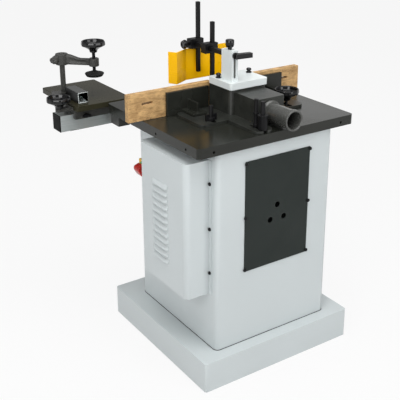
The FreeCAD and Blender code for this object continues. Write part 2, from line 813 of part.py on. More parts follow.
def build_motor():
    cap = "motor_diameter * 0.36"
    profile = [("motor_shaft / 2 + slide_gap", "-motor_plate"), ("motor_boss / 2", "-motor_plate"),
               ("motor_boss / 2", "0"), ("motor_diameter / 2", "0"), ("motor_diameter / 2", "motor_plate"),
               ("motor_diameter / 2 - motor_plate / 2", "motor_plate"),
               ("motor_diameter / 2 - motor_plate / 2", "motor_height - motor_plate"),
               (cap, "motor_height"), ("motor_shaft / 2 + slide_gap", "motor_height")]
    can = turned("motor_can", profile, ("motor_x", "motor_y", plate_top))
    box = block("motor_terminal_box", ("motor_x - motor_shaft", "motor_x + motor_shaft"),
                ("motor_y - motor_diameter / 2 - terminal_box", "motor_y - motor_diameter / 3"),
                (f"{plate_top} + motor_height * 0.3", f"{plate_top} + motor_height * 0.75"))
    node("motor", fuse("motor_housing", can, box))
    node("motor_shaft",
         rod("motor_shaft_bar", "motor_shaft", f"motor_height + {plate_top} - {pulley_foot} - motor_plate",
             ("motor_x", "motor_y", pulley_foot)))


def pulley(name, diameter, bore, place):
    """A flat belt pulley with a low flange at each edge."""
    lip = "(pulley_face - belt_width) / 2 - slide_gap"
    profile = [(f"{bore} / 2 + run_gap", "0"), (f"{diameter} / 2 + belt_thickness / 2", "0"),
               (f"{diameter} / 2 + belt_thickness / 2", lip), (f"{diameter} / 2", lip),
               (f"{diameter} / 2", f"pulley_face - ({lip})"),
               (f"{diameter} / 2 + belt_thickness / 2", f"pulley_face - ({lip})"),
               (f"{diameter} / 2 + belt_thickness / 2", "pulley_face"),
               (f"{bore} / 2 + run_gap", "pulley_face")]
    return turned(name, profile, place)


def belt_loop(extra):
    """The loop of two arcs and two tangents around both pulleys, this far outside them."""
    small = FreeCAD.Vector(number("spindle_x"), number("spindle_y"), 0)
    large = FreeCAD.Vector(number("motor_x"), number("motor_y"), 0)
    radius_small = number("spindle_pulley / 2") + extra
    radius_large = number("motor_pulley / 2") + extra
    along = large - small
    distance = along.Length
    along.normalize()
    across = FreeCAD.Vector(-along.y, along.x, 0)
    lean = (radius_small - radius_large) / distance
    spread = (1 - lean * lean) ** 0.5
    points = []
    for side in (1, -1):
        normal = along * lean + across * (side * spread)
        points.append((small + normal * radius_small, large + normal * radius_large))
    (small_left, large_left), (small_right, large_right) = points
    edges = [Part.LineSegment(small_left, large_left).toShape(),
             Part.Arc(large_left, large + along * radius_large, large_right).toShape(),
             Part.LineSegment(large_right, small_right).toShape(),
             Part.Arc(small_right, small - along * radius_small, small_left).toShape()]
    return Part.Face(Part.Wire(edges))


def build_drive():
    node("spindle_pulley", pulley("spindle_pulley_wheel", "spindle_pulley", "spindle_arbor",
                                  ("spindle_x", "spindle_y", pulley_foot)))
    node("motor_pulley", pulley("motor_pulley_wheel", "motor_pulley", "motor_shaft",
                                ("motor_x", "motor_y", pulley_foot)))
    gap = number("slide_gap")
    height = FreeCAD.Vector(0, 0, number("belt_width"))
    loop = belt_loop(gap + number("belt_thickness")).extrude(height).cut(belt_loop(gap).extrude(height))
    belt = doc.addObject("Part::Feature", "belt")
    belt.Shape = loop
    locate(belt, ("0", "0", belt_foot))
    node("drive_belt", belt)


# Spindle and what is clamped on its arbor
spindle_shoulder = f"({housing_head} + collar_lift)"
collar_top = f"({spindle_shoulder} + collar_height)"
cutter_foot = "(table_top + cutter_lift)"
cutter_top = f"({cutter_foot} + cutter_height)"
spacer_top = f"({cutter_top} + spacer_height)"


def build_spindle():
    foot = pulley_foot
    bottom = f"({housing_foot} - 2 * slide_gap)"
    profile = [("0", "0"), ("spindle_arbor / 2", "0"), ("spindle_arbor / 2", f"{bottom} - {foot}"),
               ("spindle_journal / 2", f"{bottom} - {foot}"),
               ("spindle_journal / 2", f"{spindle_shoulder} - {foot}"),
               ("spindle_collar / 2", f"{spindle_shoulder} - {foot}"),
               ("spindle_collar / 2", f"{collar_top} - {foot}"),
               ("spindle_arbor / 2", f"{collar_top} - {foot}"),
               ("spindle_arbor / 2", f"{spacer_top} + nut_height + arbor_end - {foot}"),
               ("0", f"{spacer_top} + nut_height + arbor_end - {foot}")]
    axis = ("spindle_x", "spindle_y")
    node("spindle_shaft", turned("spindle_bar", profile, (*axis, foot)))
    bore = "spindle_arbor + 2 * run_gap"
    disc = rod("cutter_disc", "cutter_diameter", "cutter_height", (*axis, cutter_foot))
    hole = rod("cutter_hole", bore, "3 * cutter_height", (*axis, f"{cutter_foot} - cutter_height"))
    slots, knives = [], []
    rim = "cutter_diameter / 2"
    for sign in ("-", "+"):
        ends = sorted((f"{sign}({rim} + 2 * knife_reach)", f"{sign}({rim} - knife_depth)"), key=number)
        slots.append(block("cutter_slot", [f"spindle_x + {e}" for e in ends],
                           ("spindle_y - knife_thickness / 2", "spindle_y + knife_thickness / 2"),
                           (f"{cutter_foot} - tool_overrun", f"{cutter_top} + tool_overrun")))
        tips = sorted((f"{sign}({rim} + knife_reach)", f"{sign}({rim} - knife_depth)"), key=number)
        knives.append(block("cutter_knife", [f"spindle_x + {e}" for e in tips],
                            ("spindle_y - knife_thickness / 2", "spindle_y + knife_thickness / 2"),
                            (cutter_foot, cutter_top)))
    node("cutter_block", cut("cutter_milled", disc, hole, *slots))
    node("cutter_knives", group("knife_pair", *knives))
    rings = []
    for low, high in ((collar_top, cutter_foot), (cutter_top, spacer_top)):
        ring = rod("spacer_disc", "spacer_diameter", f"{high} - {low}", (*axis, low))
        rings.append(cut("spacer", ring,
                         rod("spacer_hole", bore, "4 * cutter_height", (*axis, f"{low} - cutter_height"))))
    node("spindle_spacers", group("spacer_pair", *rings))
    nut = hexagon("nut_hexagon", "nut_across", "nut_height", (*axis, spacer_top))
    node("spindle_nut", cut("nut_drilled", nut, rod("nut_hole", bore, "3 * nut_height",
                                                    (*axis, f"{spacer_top} - nut_height"))))


# Rise screw, bevel pair, shaft and handwheel on the operator's side

def build_rise():
    cone_foot = "-slideway_shelf - bevel_radius + bevel_small"
    cone_top = "-slideway_shelf - bevel_gap"
    screw_top = f"{shoe_head} - {shelf_top}"
    profile = [("0", cone_foot), ("bevel_small", cone_foot), ("bevel_radius - bevel_gap", cone_top),
               ("rise_journal / 2", cone_top), ("rise_journal / 2", "slide_gap"),
               ("rise_screw / 2", "slide_gap"),
               ("rise_screw / 2", screw_top), ("0", screw_top)]
    node("rise_screw", turned("rise_screw_bar", profile, (rise_x, rise_y, f"{shelf_top}")))
    wheel_foot = f"({cabinet_front} + rise_wheel_stand)"
    hub = "rise_shaft / 2 + rise_hub_wall"
    pinion_back = f"{slide_face} - {rise_y} - slide_gap"
    shaft_end = f"{wheel_foot} - {rise_y} + rise_wheel_rim"
    shaft_profile = [("0", "bevel_small"), ("bevel_small - bevel_gap", "bevel_small"),
                     ("bevel_radius - bevel_gap", "bevel_radius"),
                     ("bevel_radius - bevel_gap", pinion_back),
                     ("rise_shaft / 2", pinion_back), ("rise_shaft / 2", shaft_end), ("0", shaft_end)]
    node("rise_shaft", turned("rise_shaft_bar", shaft_profile, (rise_x, rise_y, shaft_z), Y_AXIS))
    centre = (rise_x, wheel_foot, shaft_z)
    rim = doc.addObject("Part::Torus", "rise_rim")
    bind(rim, "Radius1", "rise_wheel_radius - rise_wheel_rim")
    bind(rim, "Radius2", "rise_wheel_rim")
    locate(rim, (rise_x, f"{wheel_foot} + rise_wheel_rim", shaft_z), Y_AXIS)
    boss = rod("rise_hub", f"2 * ({hub})", "2 * rise_wheel_rim", centre, Y_AXIS)
    spokes = [block("rise_spoke", (f"{rise_x} - rise_wheel_rim", f"{rise_x} + rise_wheel_rim"),
                    (f"{wheel_foot} + rise_wheel_rim / 2", f"{wheel_foot} + rise_wheel_rim * 1.5"),
                    (f"{shaft_z} - rise_wheel_radius + rise_wheel_rim",
                     f"{shaft_z} + rise_wheel_radius - rise_wheel_rim")),
              block("rise_cross_spoke",
                    (f"{rise_x} - rise_wheel_radius + rise_wheel_rim",
                     f"{rise_x} + rise_wheel_radius - rise_wheel_rim"),
                    (f"{wheel_foot} + rise_wheel_rim / 2", f"{wheel_foot} + rise_wheel_rim * 1.5"),
                    (f"{shaft_z} - rise_wheel_rim", f"{shaft_z} + rise_wheel_rim"))]
    grip_x = f"{rise_x} + rise_wheel_radius - rise_wheel_rim"
    grip = rod("rise_grip_bar", "2 * rise_grip", "rise_grip_length",
               (grip_x, f"{wheel_foot} + rise_wheel_rim", shaft_z), Y_AXIS)
    bore = rod("rise_bore", "rise_shaft + 2 * run_gap", "rise_wheel_rim + run_gap",
               (rise_x, wheel_foot, shaft_z), Y_AXIS)
    node("rise_handwheel", cut("rise_wheel_cast", fuse("rise_wheel", rim, boss, *spokes, grip), bore))


# Fence casting: hood with wings, rear foot and slots for the table studs
hood_left = "(spindle_x - hood_width / 2)"
hood_right = "(spindle_x + hood_width / 2)"
hood_front = "(board_rear - plate_thickness - slide_gap)"
port_z = "(table_top + port_rise)"


def stud_slot(name, x, y, diameter):
    """A slot along Y that lets the casting slide past a stud by the fence's travel each way."""
    width = f"({diameter} / 2 + slot_room)"
    travel = "(fence_travel + slot_room)"
    z = ("table_top - base_thickness", "table_top + 2 * base_thickness")
    middle = block(name, (f"{x} - {width}", f"{x} + {width}"), (f"{y} - {travel}", f"{y} + {travel}"), z)
    ends = [rod(name + "_end", f"2 * {width}", "3 * base_thickness", (x, f"{y} {sign} {travel}", z[0]))
            for sign in ("-", "+")]
    return fuse(name + "_slot", middle, *ends)


def hood_duct(rearwards):
    """A shell behind the hood, open below, whose end wall holds the spout."""
    half = "(hood_width / 2 - hood_corner)"
    inside = f"({half} - hood_wall)"
    end = "(hood_rear - duct_length)"
    top = f"({hood_top} - duct_drop)"
    shell = rounded("duct_shell", (f"spindle_x - {half}", f"spindle_x + {half}"),
                    (end, "hood_rear + hood_wall / 2"), ("table_top", top), "hood_wall", rearwards)
    room = block("duct_room", (f"spindle_x - {inside}", f"spindle_x + {inside}"),
                 (f"{end} + hood_wall", "hood_rear"), ("table_top - tool_overrun", f"{top} - hood_wall"))
    return cut("duct_hollow", shell, room)


def build_fence_base():
    rearwards = lambda x, y: y < 0
    floor = ("table_top", base_top)
    hood = rounded("hood_shell", (hood_left, hood_right), ("hood_rear", hood_front),
                   ("table_top", hood_top),
                   "hood_corner", rearwards)
    wings = rounded("hood_wings", (f"{hood_left} - wing_span", f"{hood_right} + wing_span"),
                    (f"{hood_front} - wing_depth", hood_front), floor, "foot_corner")
    foot_left = "(spindle_x - rear_foot_left)"
    foot = rounded("hood_rear_foot", (foot_left, f"{foot_left} + rear_foot_width"),
                   ("rear_foot_end", "hood_rear"),
                   floor, "foot_corner", rearwards)
    room = rounded("hood_room", (f"{hood_left} + hood_wall", f"{hood_right} - hood_wall"),
                   ("hood_rear + hood_wall", "board_rear"),
                   ("table_top - hood_wall", f"{hood_top} + hood_wall"),
                   "hood_corner - hood_wall", rearwards)
    mouth = rod("hood_mouth", "port_bore - port_rim", "3 * hood_wall",
                ("spindle_x", "hood_rear - hood_wall", port_z),
                Y_AXIS)
    slots = [stud_slot("fence_left", left_stud_x, "stud_y", "stud_diameter"),
             stud_slot("fence_right", right_stud_x, "stud_y", "stud_diameter"),
             stud_slot("fence_rear", rear_stud_at, "rear_stud_y", "stud_diameter"),
             stud_slot("fence_post", rear_stud_at, "rear_post_y", "stud_diameter")]
    spout_room = rod("hood_spout_room", "port_outer + 2 * slide_gap", "duct_length + tool_overrun",
                     ("spindle_x", "hood_rear", port_z), MINUS_Y_AXIS)
    casting = fuse("hood_casting", hood, wings, foot, hood_duct(rearwards))
    node("fence_hood", cut("hood_machined", casting, room, mouth, spout_room, *slots))


def build_dust_port():
    profile = [("port_bore / 2", "0"), ("port_outer / 2", "0"),
               ("port_outer / 2", "port_reach - port_rim_length"),
               ("port_outer / 2 - port_rim / 2", "port_reach - port_rim_length"),
               ("port_outer / 2 - port_rim / 2", "port_reach"), ("port_bore / 2", "port_reach")]
    node("dust_port", turned("port_tube", profile, ("spindle_x", "hood_rear", port_z), MINUS_Y_AXIS))


def build_studs():
    """Studs in the table with their nuts: a winged one left of the hood, two behind it."""
    seat = f"({base_top} + slide_gap)"
    studs = []
    for x, y, top in ((left_stud_x, "stud_y", "stud_height"),
                      (rear_stud_at, "rear_stud_y", "rear_stud_height"),
                      (rear_stud_at, "rear_post_y", "rear_stud_height")):
        studs.append((x, y,
                      rod("stud_bar", "stud_diameter", f"{top} + table_thickness", (x, y, table_under))))
    left_x, left_y, left_bar = studs[0]
    left_hub = rod("stud_wing_hub", "clamp_nut", "clamp_nut_height", (left_x, left_y, seat))
    left_wing = block("stud_wing", (f"{left_x} - clamp_wing / 2", f"{left_x} + clamp_wing / 2"),
                      (f"{left_y} - clamp_wing_thickness / 2", f"{left_y} + clamp_wing_thickness / 2"),
                      (seat, f"{seat} + 2 * clamp_nut_height"))
    rear_x, rear_y, rear_bar = studs[1]
    rear_nut = rod("stud_rear_nut", "clamp_nut * 0.8", "clamp_nut_height", (rear_x, rear_y, seat))
    rear_collar = rod("stud_rear_collar", "clamp_nut * 0.8", "clamp_nut_height / 2",
                      (rear_x, rear_y, f"{seat} + rear_post_height"))
    post_x, post_y, post_bar = studs[2]
    post = rod("stud_post", "rear_post", "rear_post_height", (post_x, post_y, seat))
    post_collar = rod("stud_post_collar", "rear_post + collar_rim", "clamp_nut_height / 2",
                      (post_x, post_y, f"{seat} + rear_post_height"))
    node("fence_studs", group("stud_set", fuse("left_stud", left_bar, left_hub, left_wing),
                              fuse("rear_stud", rear_bar, rear_nut, rear_collar),
                              fuse("rear_post_stud", post_bar, post, post_collar)))


# Dished handwheel used three times: hub below, concave face above

def dish_wheel(name, place):
    profile = [("0", "0"), ("wheel_hub", "0"), ("wheel_hub", "wheel_height * 0.36"),
               ("wheel_hub * 1.5", "wheel_height * 0.46"), ("wheel_radius * 0.9", "wheel_height * 0.6"),
               ("wheel_radius", "wheel_height * 0.72"), ("wheel_radius", "wheel_height * 0.92"),
               ("wheel_radius * 0.95", "wheel_height"), ("wheel_radius * 0.88", "wheel_height * 0.97"),
               ("wheel_radius * 0.62", "wheel_height * 0.8"), ("0", "wheel_height * 0.74")]
    return turned(name, profile, place)


def build_fence_lock():
    seat = f"({base_top} + slide_gap)"
    knob = dish_wheel("lock_wheel", (right_stud_x, "stud_y", f"{seat} + lock_lift"))
    bar = rod("lock_bar", "stud_diameter", f"{seat} + lock_lift - {table_under} + wheel_height / 3",
              (right_stud_x, "stud_y", table_under))
    node("fence_lock_wheel", fuse("lock_wheel_and_stud", knob, bar))


# Fence plates and boards: one half each side of the cutter
board_foot = "(table_top + board_lift)"
board_front = "(board_rear + board_thickness)"


def build_fence_half(side, sign, inner, outer):
    """One board with its backing plate, whose tongue lies on the casting's wing."""
    board_x = sorted((inner, outer), key=number)
    board = block(f"board_{side}", board_x, ("board_rear", board_front),
                  (board_foot, f"{board_foot} + board_height"))
    slot_far = f"({outer} - {sign} * board_slot_inset)"
    slot_x = sorted((slot_far, f"({slot_far} - {sign} * board_slot)"), key=number)
    slot_z = f"({board_foot} + board_slot_rise)"
    slot = block(f"board_slot_{side}", slot_x,
                 ("board_rear - tool_overrun", f"{board_front} + tool_overrun"),
                 (f"{slot_z} - board_slot_width / 2", f"{slot_z} + board_slot_width / 2"))
    node(f"fence_board_{side}", cut(f"board_slotted_{side}", board, slot))
    wall = f"(spindle_x + {sign} * (hood_width / 2 + plate_gap))"
    plate_x = sorted((wall, f"({wall} + {sign} * plate_length)"), key=number)
    plate_y = ("board_rear - plate_thickness", "board_rear")
    plate = block(f"plate_{side}_upright", plate_x, plate_y, (board_foot, f"{board_foot} + plate_height"))
    middle = f"({wall} + {sign} * plate_length / 2)"
    tongue_z = f"({base_top} + slide_gap)"
    tongue = block(f"plate_{side}_tongue", (f"{middle} - tongue_width / 2", f"{middle} + tongue_width / 2"),
                   ("board_rear - plate_thickness - tongue_depth", "board_rear"),
                   (tongue_z, f"{tongue_z} + tongue_thickness"))
    rib = block(f"plate_{side}_rib", (f"{middle} - rib_thickness / 2", f"{middle} + rib_thickness / 2"),
                ("board_rear - plate_thickness - tongue_depth * 0.8", "board_rear"),
                (tongue_z, f"{tongue_z} + plate_height * 0.5"))
    node(f"fence_plate_{side}", fuse(f"plate_{side}_cast", plate, tongue, rib))


def build_fence_halves():
    build_fence_half("left", "-1", "(spindle_x - cutter_opening)", "board_left_end")
    build_fence_half("right", "1", "(spindle_x + cutter_opening)", "board_right_end")


# White sheet lid on the hood, its two knobs and the slotted column
lid_x = (f"({hood_left} - lid_overhang)", f"({hood_right} + lid_overhang)")
lid_y = ("(hood_rear - lid_overhang)", f"({hood_front} + lid_overhang)")
column_front = "(column_rear + column_depth)"
column_top = f"({lid_top} + column_height)"
arm_middle = f"({arm_head} - arm_section / 2)"


def build_lid():
    shell = rounded("lid_shell", lid_x, lid_y, (hood_top, lid_top), "lid_corner")
    room = rounded("lid_room", (f"{lid_x[0]} + lid_sheet", f"{lid_x[1]} - lid_sheet"),
                   (f"{lid_y[0]} + lid_sheet", f"{lid_y[1]} - lid_sheet"),
                   (f"{hood_top} + lid_sheet", f"{lid_top} - lid_sheet"), "lid_corner - lid_sheet")
    mouth = block("lid_mouth", (f"{lid_x[0]} + lid_flange", f"{lid_x[1]} - lid_flange"),
                  (f"{lid_y[0]} + lid_flange", f"{lid_y[1]} - lid_flange"),
                  (f"{hood_top} - lid_sheet", f"{hood_top} + 2 * lid_sheet"))
    node("hood_lid", cut("lid_folded", shell, room, mouth))
    knobs = []
    for sign in ("-", "+"):
        profile = [("0", "0"), ("lid_knob * 0.5", "0"), ("lid_knob * 0.5", "lid_knob_height * 0.25"),
                   ("lid_knob * 0.3", "lid_knob_height * 0.4"),
                   ("lid_knob * 0.32", "lid_knob_height * 0.8"),
                   ("lid_knob * 0.2", "lid_knob_height"), ("0", "lid_knob_height")]
        knobs.append(turned("lid_knob_turned", profile,
                            (f"spindle_x {sign} lid_knob_pitch / 2", "lid_knob_y", lid_top)))
    node("lid_knobs", group("lid_knob_pair", *knobs))


def build_column():
    side = "column_width / 2"
    inside = f"({side} - column_sheet)"
    shell = block("column_shell", (f"column_x - {side}", f"column_x + {side}"),
                  ("column_rear", column_front),
                  (lid_top, column_top))
    room = block("column_room", (f"column_x - {inside}", f"column_x + {inside}"),
                 ("column_rear + column_sheet", f"{column_front} + column_sheet"),
                 (f"{lid_top} + column_sheet", f"{column_top} - column_sheet"))
    slot = block("column_slot_cut", ("column_x - column_slot / 2", "column_x + column_slot / 2"),
                 ("column_rear - column_sheet", "column_rear + 2 * column_sheet"),
                 (f"{lid_top} + column_slot_foot", f"{arm_middle} + column_slot / 2"))
    screw_hole = rod("column_screw_hole", "height_screw + 2 * run_gap", "3 * column_sheet",
                     ("column_x", "column_rear + column_depth / 2", f"{column_top} - 2 * column_sheet"))
    node("guard_column", cut("column_folded", shell, room, slot, screw_hole))
    foot = f"{lid_top} + 3 * column_sheet - {column_top}"
    profile = [("0", foot), ("height_screw / 2", foot), ("height_screw / 2", "slide_gap"),
               ("height_screw", "slide_gap"), ("height_screw", "column_knob_lift"),
               ("column_knob * 0.4", "column_knob_lift"),
               ("column_knob / 2", "column_knob_lift + column_knob_height * 0.3"),
               ("column_knob / 2", "column_knob_lift + column_knob_height * 0.9"),
               ("column_knob * 0.44", "column_knob_lift + column_knob_height"),
               ("0", "column_knob_lift + column_knob_height")]
    node("column_knob",
         turned("column_knob_turned", profile, ("column_x", "column_rear + column_depth / 2", column_top)))


# Guard arm with its block in the column, lock lever, clamp blocks, bars and front guard
arm_x = "(column_x - arm_offset)"
bar_x = "(column_x + bar_offset)"
arm_z = (f"{arm_head} - arm_section", f"{arm_head}")


def build_arm():
    half = "(column_width / 2 - column_sheet - slide_gap)"
    block_rear = "(column_rear + column_sheet + slide_gap)"
    slider = block("arm_slider", (f"column_x - {half}", f"column_x + {half}"),
                   (block_rear, f"{column_front} + 3 * slide_gap"),
                   (f"{arm_middle} - block_height / 2", f"{arm_middle} + block_height / 2"))
    beam = block("arm_beam", (f"{arm_x} - arm_section / 2", f"{arm_x} + arm_section / 2"),
                 (f"{column_front} + slide_gap", "arm_end"), arm_z)
    screw_hole = rod("arm_screw_hole", "height_screw + 2 * run_gap", "2 * block_height",
                     ("column_x", "column_rear + column_depth / 2", f"{arm_middle} - block_height"))
    lever_hole = rod("arm_lever_hole", "lever_bolt", "arm_section",
                     ("column_x", block_rear, arm_middle), Y_AXIS)
    node("guard_arm", cut("arm_drilled", fuse("arm_welded", slider, beam), screw_hole, lever_hole))
    hub_face = "(column_rear - slide_gap)"
    bolt = rod("lever_bolt_bar", "lever_bolt - 2 * run_gap", "column_sheet + arm_section",
               ("column_x", hub_face, arm_middle), Y_AXIS)
    hub = rod("lever_hub_disc", "lever_hub", "lever_width * 0.8", ("column_x", hub_face, arm_middle),
              MINUS_Y_AXIS)
    rear = f"({hub_face} - lever_width * 1.6)"
    outline = [("column_x - lever_hub * 0.3", hub_face), ("column_x - lever_hub * 0.3", rear),
               ("column_x + lever_reach", f"{rear} - lever_width * 0.5"),
               ("column_x + lever_reach", f"{hub_face} - lever_width * 0.8")]
    grip = padded("lever_grip", outline, f"{arm_middle} - lever_drop / 2", f"{arm_middle} + lever_drop / 2")
    node("column_lever", fuse("lever_moulded", bolt, hub, grip))


def clamp_block(name, y):
    """A block that slides on the arm and holds a pressure bar beside it."""
    side = "clamp_block_width / 2"
    body = block(name + "_body", (f"column_x - {side}", f"column_x + {side}"),
                 (f"{y} - clamp_block_depth / 2", f"{y} + clamp_block_depth / 2"),
                 (f"{arm_middle} - clamp_block_height / 2", f"{arm_middle} + clamp_block_height / 2"))
    reach = "clamp_block_depth"
    arm_way = block(name + "_arm_way",
                    (f"{arm_x} - arm_section / 2 - slide_gap", f"{arm_x} + arm_section / 2 + slide_gap"),
                    (f"{y} - {reach}", f"{y} + {reach}"),
                    (f"{arm_z[0]} - slide_gap", f"{arm_z[1]} + slide_gap"))
    section = "(bar_section / 2 + slide_gap)"
    bar_way = block(name + "_bar_way", (f"{bar_x} - {section}", f"{bar_x} + {section}"),
                    (f"{y} - {section}", f"{y} + {section}"),
                    (f"{arm_middle} - clamp_block_height", f"{arm_middle} + clamp_block_height"))
    return cut(name, body, arm_way, bar_way)


def pressure_bar(name, y, foot, top):
    return block(name, (f"{bar_x} - bar_section / 2", f"{bar_x} + bar_section / 2"),
                 (f"{y} - bar_section / 2", f"{y} + bar_section / 2"), (foot, top))


def build_pressure_gear():
    node("clamp_block_near", clamp_block("near_clamp", "near_bar_y"))
    node("clamp_block_far", clamp_block("far_clamp", "far_bar_y"))
    node("pressure_bar_near", pressure_bar("near_bar", "near_bar_y", f"{near_foot}", f"{near_head}"))
    node("pressure_bar_far", pressure_bar("far_bar", "far_bar_y", f"{far_foot}", f"{far_head}"))
    face = "(column_x - clamp_block_width / 2 - slide_gap)"
    profile = [("0", "0"), ("star_knob * 0.16", "0"), ("star_knob * 0.16", "star_knob_lift"),
               ("star_knob * 0.36", "star_knob_lift"),
               ("star_knob / 2", "star_knob_lift + star_knob_width * 0.35"),
               ("star_knob / 2", "star_knob_lift + star_knob_width * 0.75"),
               ("star_knob * 0.36", "star_knob_lift + star_knob_width"),
               ("0", "star_knob_lift + star_knob_width")]
    node("star_knob", turned("star_knob_turned", profile, (face, "far_bar_y", arm_middle), MINUS_X_AXIS))
    build_front_guard()


def build_front_guard():
    """Folded sheet seen from above: a straight face, a leg bent to the fence and a lip bent back."""
    face = "(far_bar_y + bar_section / 2 + guard_sheet)"
    back = f"({face} + guard_sheet)"
    bend_x, bend_y = "(guard_left - guard_bend_x)", f"({face} - guard_bend_y)"
    lip_x, lip_y = f"({bend_x} - guard_lip_x)", f"({bend_y} + guard_lip_y)"
    outline = [("guard_left + guard_width", face), ("guard_left + guard_width", back),
               ("guard_left - guard_sheet * 0.3", back),
               (f"{bend_x} + guard_sheet * 0.2", f"{bend_y} + guard_sheet * 1.3"),
               (f"{lip_x} + guard_sheet * 0.85", f"{lip_y} + guard_sheet * 0.5"), (lip_x, lip_y),
               (f"{bend_x} - guard_sheet * 0.4", f"{bend_y} - guard_sheet * 0.8"), ("guard_left", face)]
    sheet_metal = padded("guard_folded", outline, f"{guard_low}", f"{guard_low} + guard_height")
    pad = block("guard_pad_block", (f"{bar_x} - bar_section / 2", f"{bar_x} + bar_section / 2"),
                ("far_bar_y + bar_section / 2", back), (f"{far_foot}", f"{far_foot} + guard_pad"))
    node("front_guard", fuse("guard_welded", sheet_metal, pad))


# Square rail, end caps and brackets on the operator's edge of the table
rail_right = f"({rail_start} + rail_length)"
rail_far = f"({rail_face} + rail_section)"
rail_foot = f"({rail_head} - rail_section)"


def build_rail():
    bar = block("rail_bar", (f"{rail_start}", rail_right), (f"{rail_face}", rail_far),
                (rail_foot, f"{rail_head}"))
    bore = block("rail_bore", (f"{rail_start} - tool_overrun", f"{rail_right} + tool_overrun"),
                 (f"{rail_face} + rail_wall", f"{rail_far} - rail_wall"),
                 (f"{rail_foot} + rail_wall", f"{rail_head} - rail_wall"))
    node("slide_rail", cut("rail_tube", bar, bore))
    caps = []
    for end, sign in ((f"{rail_start}", "-1"), (rail_right, "1")):
        face = sorted((end, f"({end} + {sign} * end_cap)"), key=number)
        plug = sorted((end, f"({end} - {sign} * end_cap_plug)"), key=number)
        plate = block("cap_plate", face, (f"{rail_face}", rail_far), (rail_foot, f"{rail_head}"))
        inner = block("cap_plug", plug, (f"{rail_face} + rail_wall", f"{rail_far} - rail_wall"),
                      (f"{rail_foot} + rail_wall", f"{rail_head} - rail_wall"))
        caps.append(fuse("cap", plate, inner))
    node("rail_end_caps", group("cap_pair", *caps))
    brackets = []
    for i in range(2):
        x = (f"{bracket_start} + {i} * bracket_pitch",
             f"{bracket_start} + {i} * bracket_pitch + bracket_width")
        upright = block("bracket_upright_plate", x, (table_front, f"{table_front} + bracket_upright"),
                        (rail_foot, f"{bracket_head}"))
        arm = block("bracket_arm_plate", x, (table_front, f"{rail_face}"),
                    (rail_foot, f"{rail_foot} + bracket_arm"))
        brackets.append(fuse("bracket", upright, arm))
    node("rail_brackets", group("bracket_pair", *brackets))


# Sliding plate on a saddle that wraps the rail from above and from its far side
saddle_left = f"({slide_left} + saddle_inset)"
saddle_right = f"({slide_left} + plate_width - 2 * saddle_inset)"
plate_under = "(table_top - plate_edge)"
saddle_near = f"({rail_face} - slide_gap - saddle_skirt)"
saddle_far = f"({rail_far} + slide_gap + saddle_skirt)"
skirt_foot = f"({rail_head} - near_skirt_drop)"
wing_z = f"({rail_head} - wing_screw_drop)"


def build_sliding_table():
    node("slide_plate", rounded("plate_slab", (f"{slide_left}", f"{slide_left} + plate_width"),
                                (f"{slide_near}", f"{slide_near} + plate_depth"),
                                (plate_under, "table_top"),
                                "plate_corner"))
    x = (saddle_left, saddle_right)
    top = block("saddle_top", x, (saddle_near, saddle_far), (f"{rail_head} + slide_gap", plate_under))
    near = block("saddle_near_skirt", x, (saddle_near, f"{rail_face} - slide_gap"),
                 (skirt_foot, plate_under))
    lip_foot = f"({rail_foot} - slide_gap - saddle_lip_height)"
    far = block("saddle_far_skirt", x, (f"{rail_far} + slide_gap", saddle_far), (lip_foot, plate_under))
    lip = block("saddle_lip_plate", x, (f"{saddle_far} - saddle_skirt - saddle_lip", saddle_far),
                (lip_foot, f"{rail_foot} - slide_gap"))
    hole = rod("saddle_screw_hole", "wing_screw + 2 * run_gap", "3 * saddle_skirt",
               (f"{wing_at}", f"{saddle_near} - saddle_skirt", wing_z), Y_AXIS)
    node("slide_saddle", cut("saddle_milled", fuse("saddle_cast", top, near, far, lip), hole))
    face = f"({saddle_near} - slide_gap)"
    shank = rod("wing_shank", "wing_screw", "saddle_skirt", (f"{wing_at}", face, wing_z), Y_AXIS)
    hub = rod("wing_hub_disc", "wing_hub", "wing_hub * 0.7", (f"{wing_at}", face, wing_z), MINUS_Y_AXIS)
    wing = block("wing_blade", (f"{wing_at} - wing_reach", f"{wing_at} + wing_reach"),
                 (f"{face} - wing_hub", f"{face} - wing_hub * 0.3"),
                 (f"{wing_z} - wing_hub / 4", f"{wing_z} + wing_hub / 4"))
    node("saddle_wing_screw", fuse("wing_screw_forged", shank, hub, wing))


# Carrier on the plate's left edge with the square tube, post and hold-down clamp
lug_top = "(table_top - lug_drop)"
lug_right = f"({slide_left} - slide_gap)"
block_near = f"({post_line} - post_block_depth / 2)"
block_far = f"({post_line} + post_block_depth / 2)"
block_foot = "(table_top + slide_gap)"
block_top = f"({block_foot} + post_block_height)"


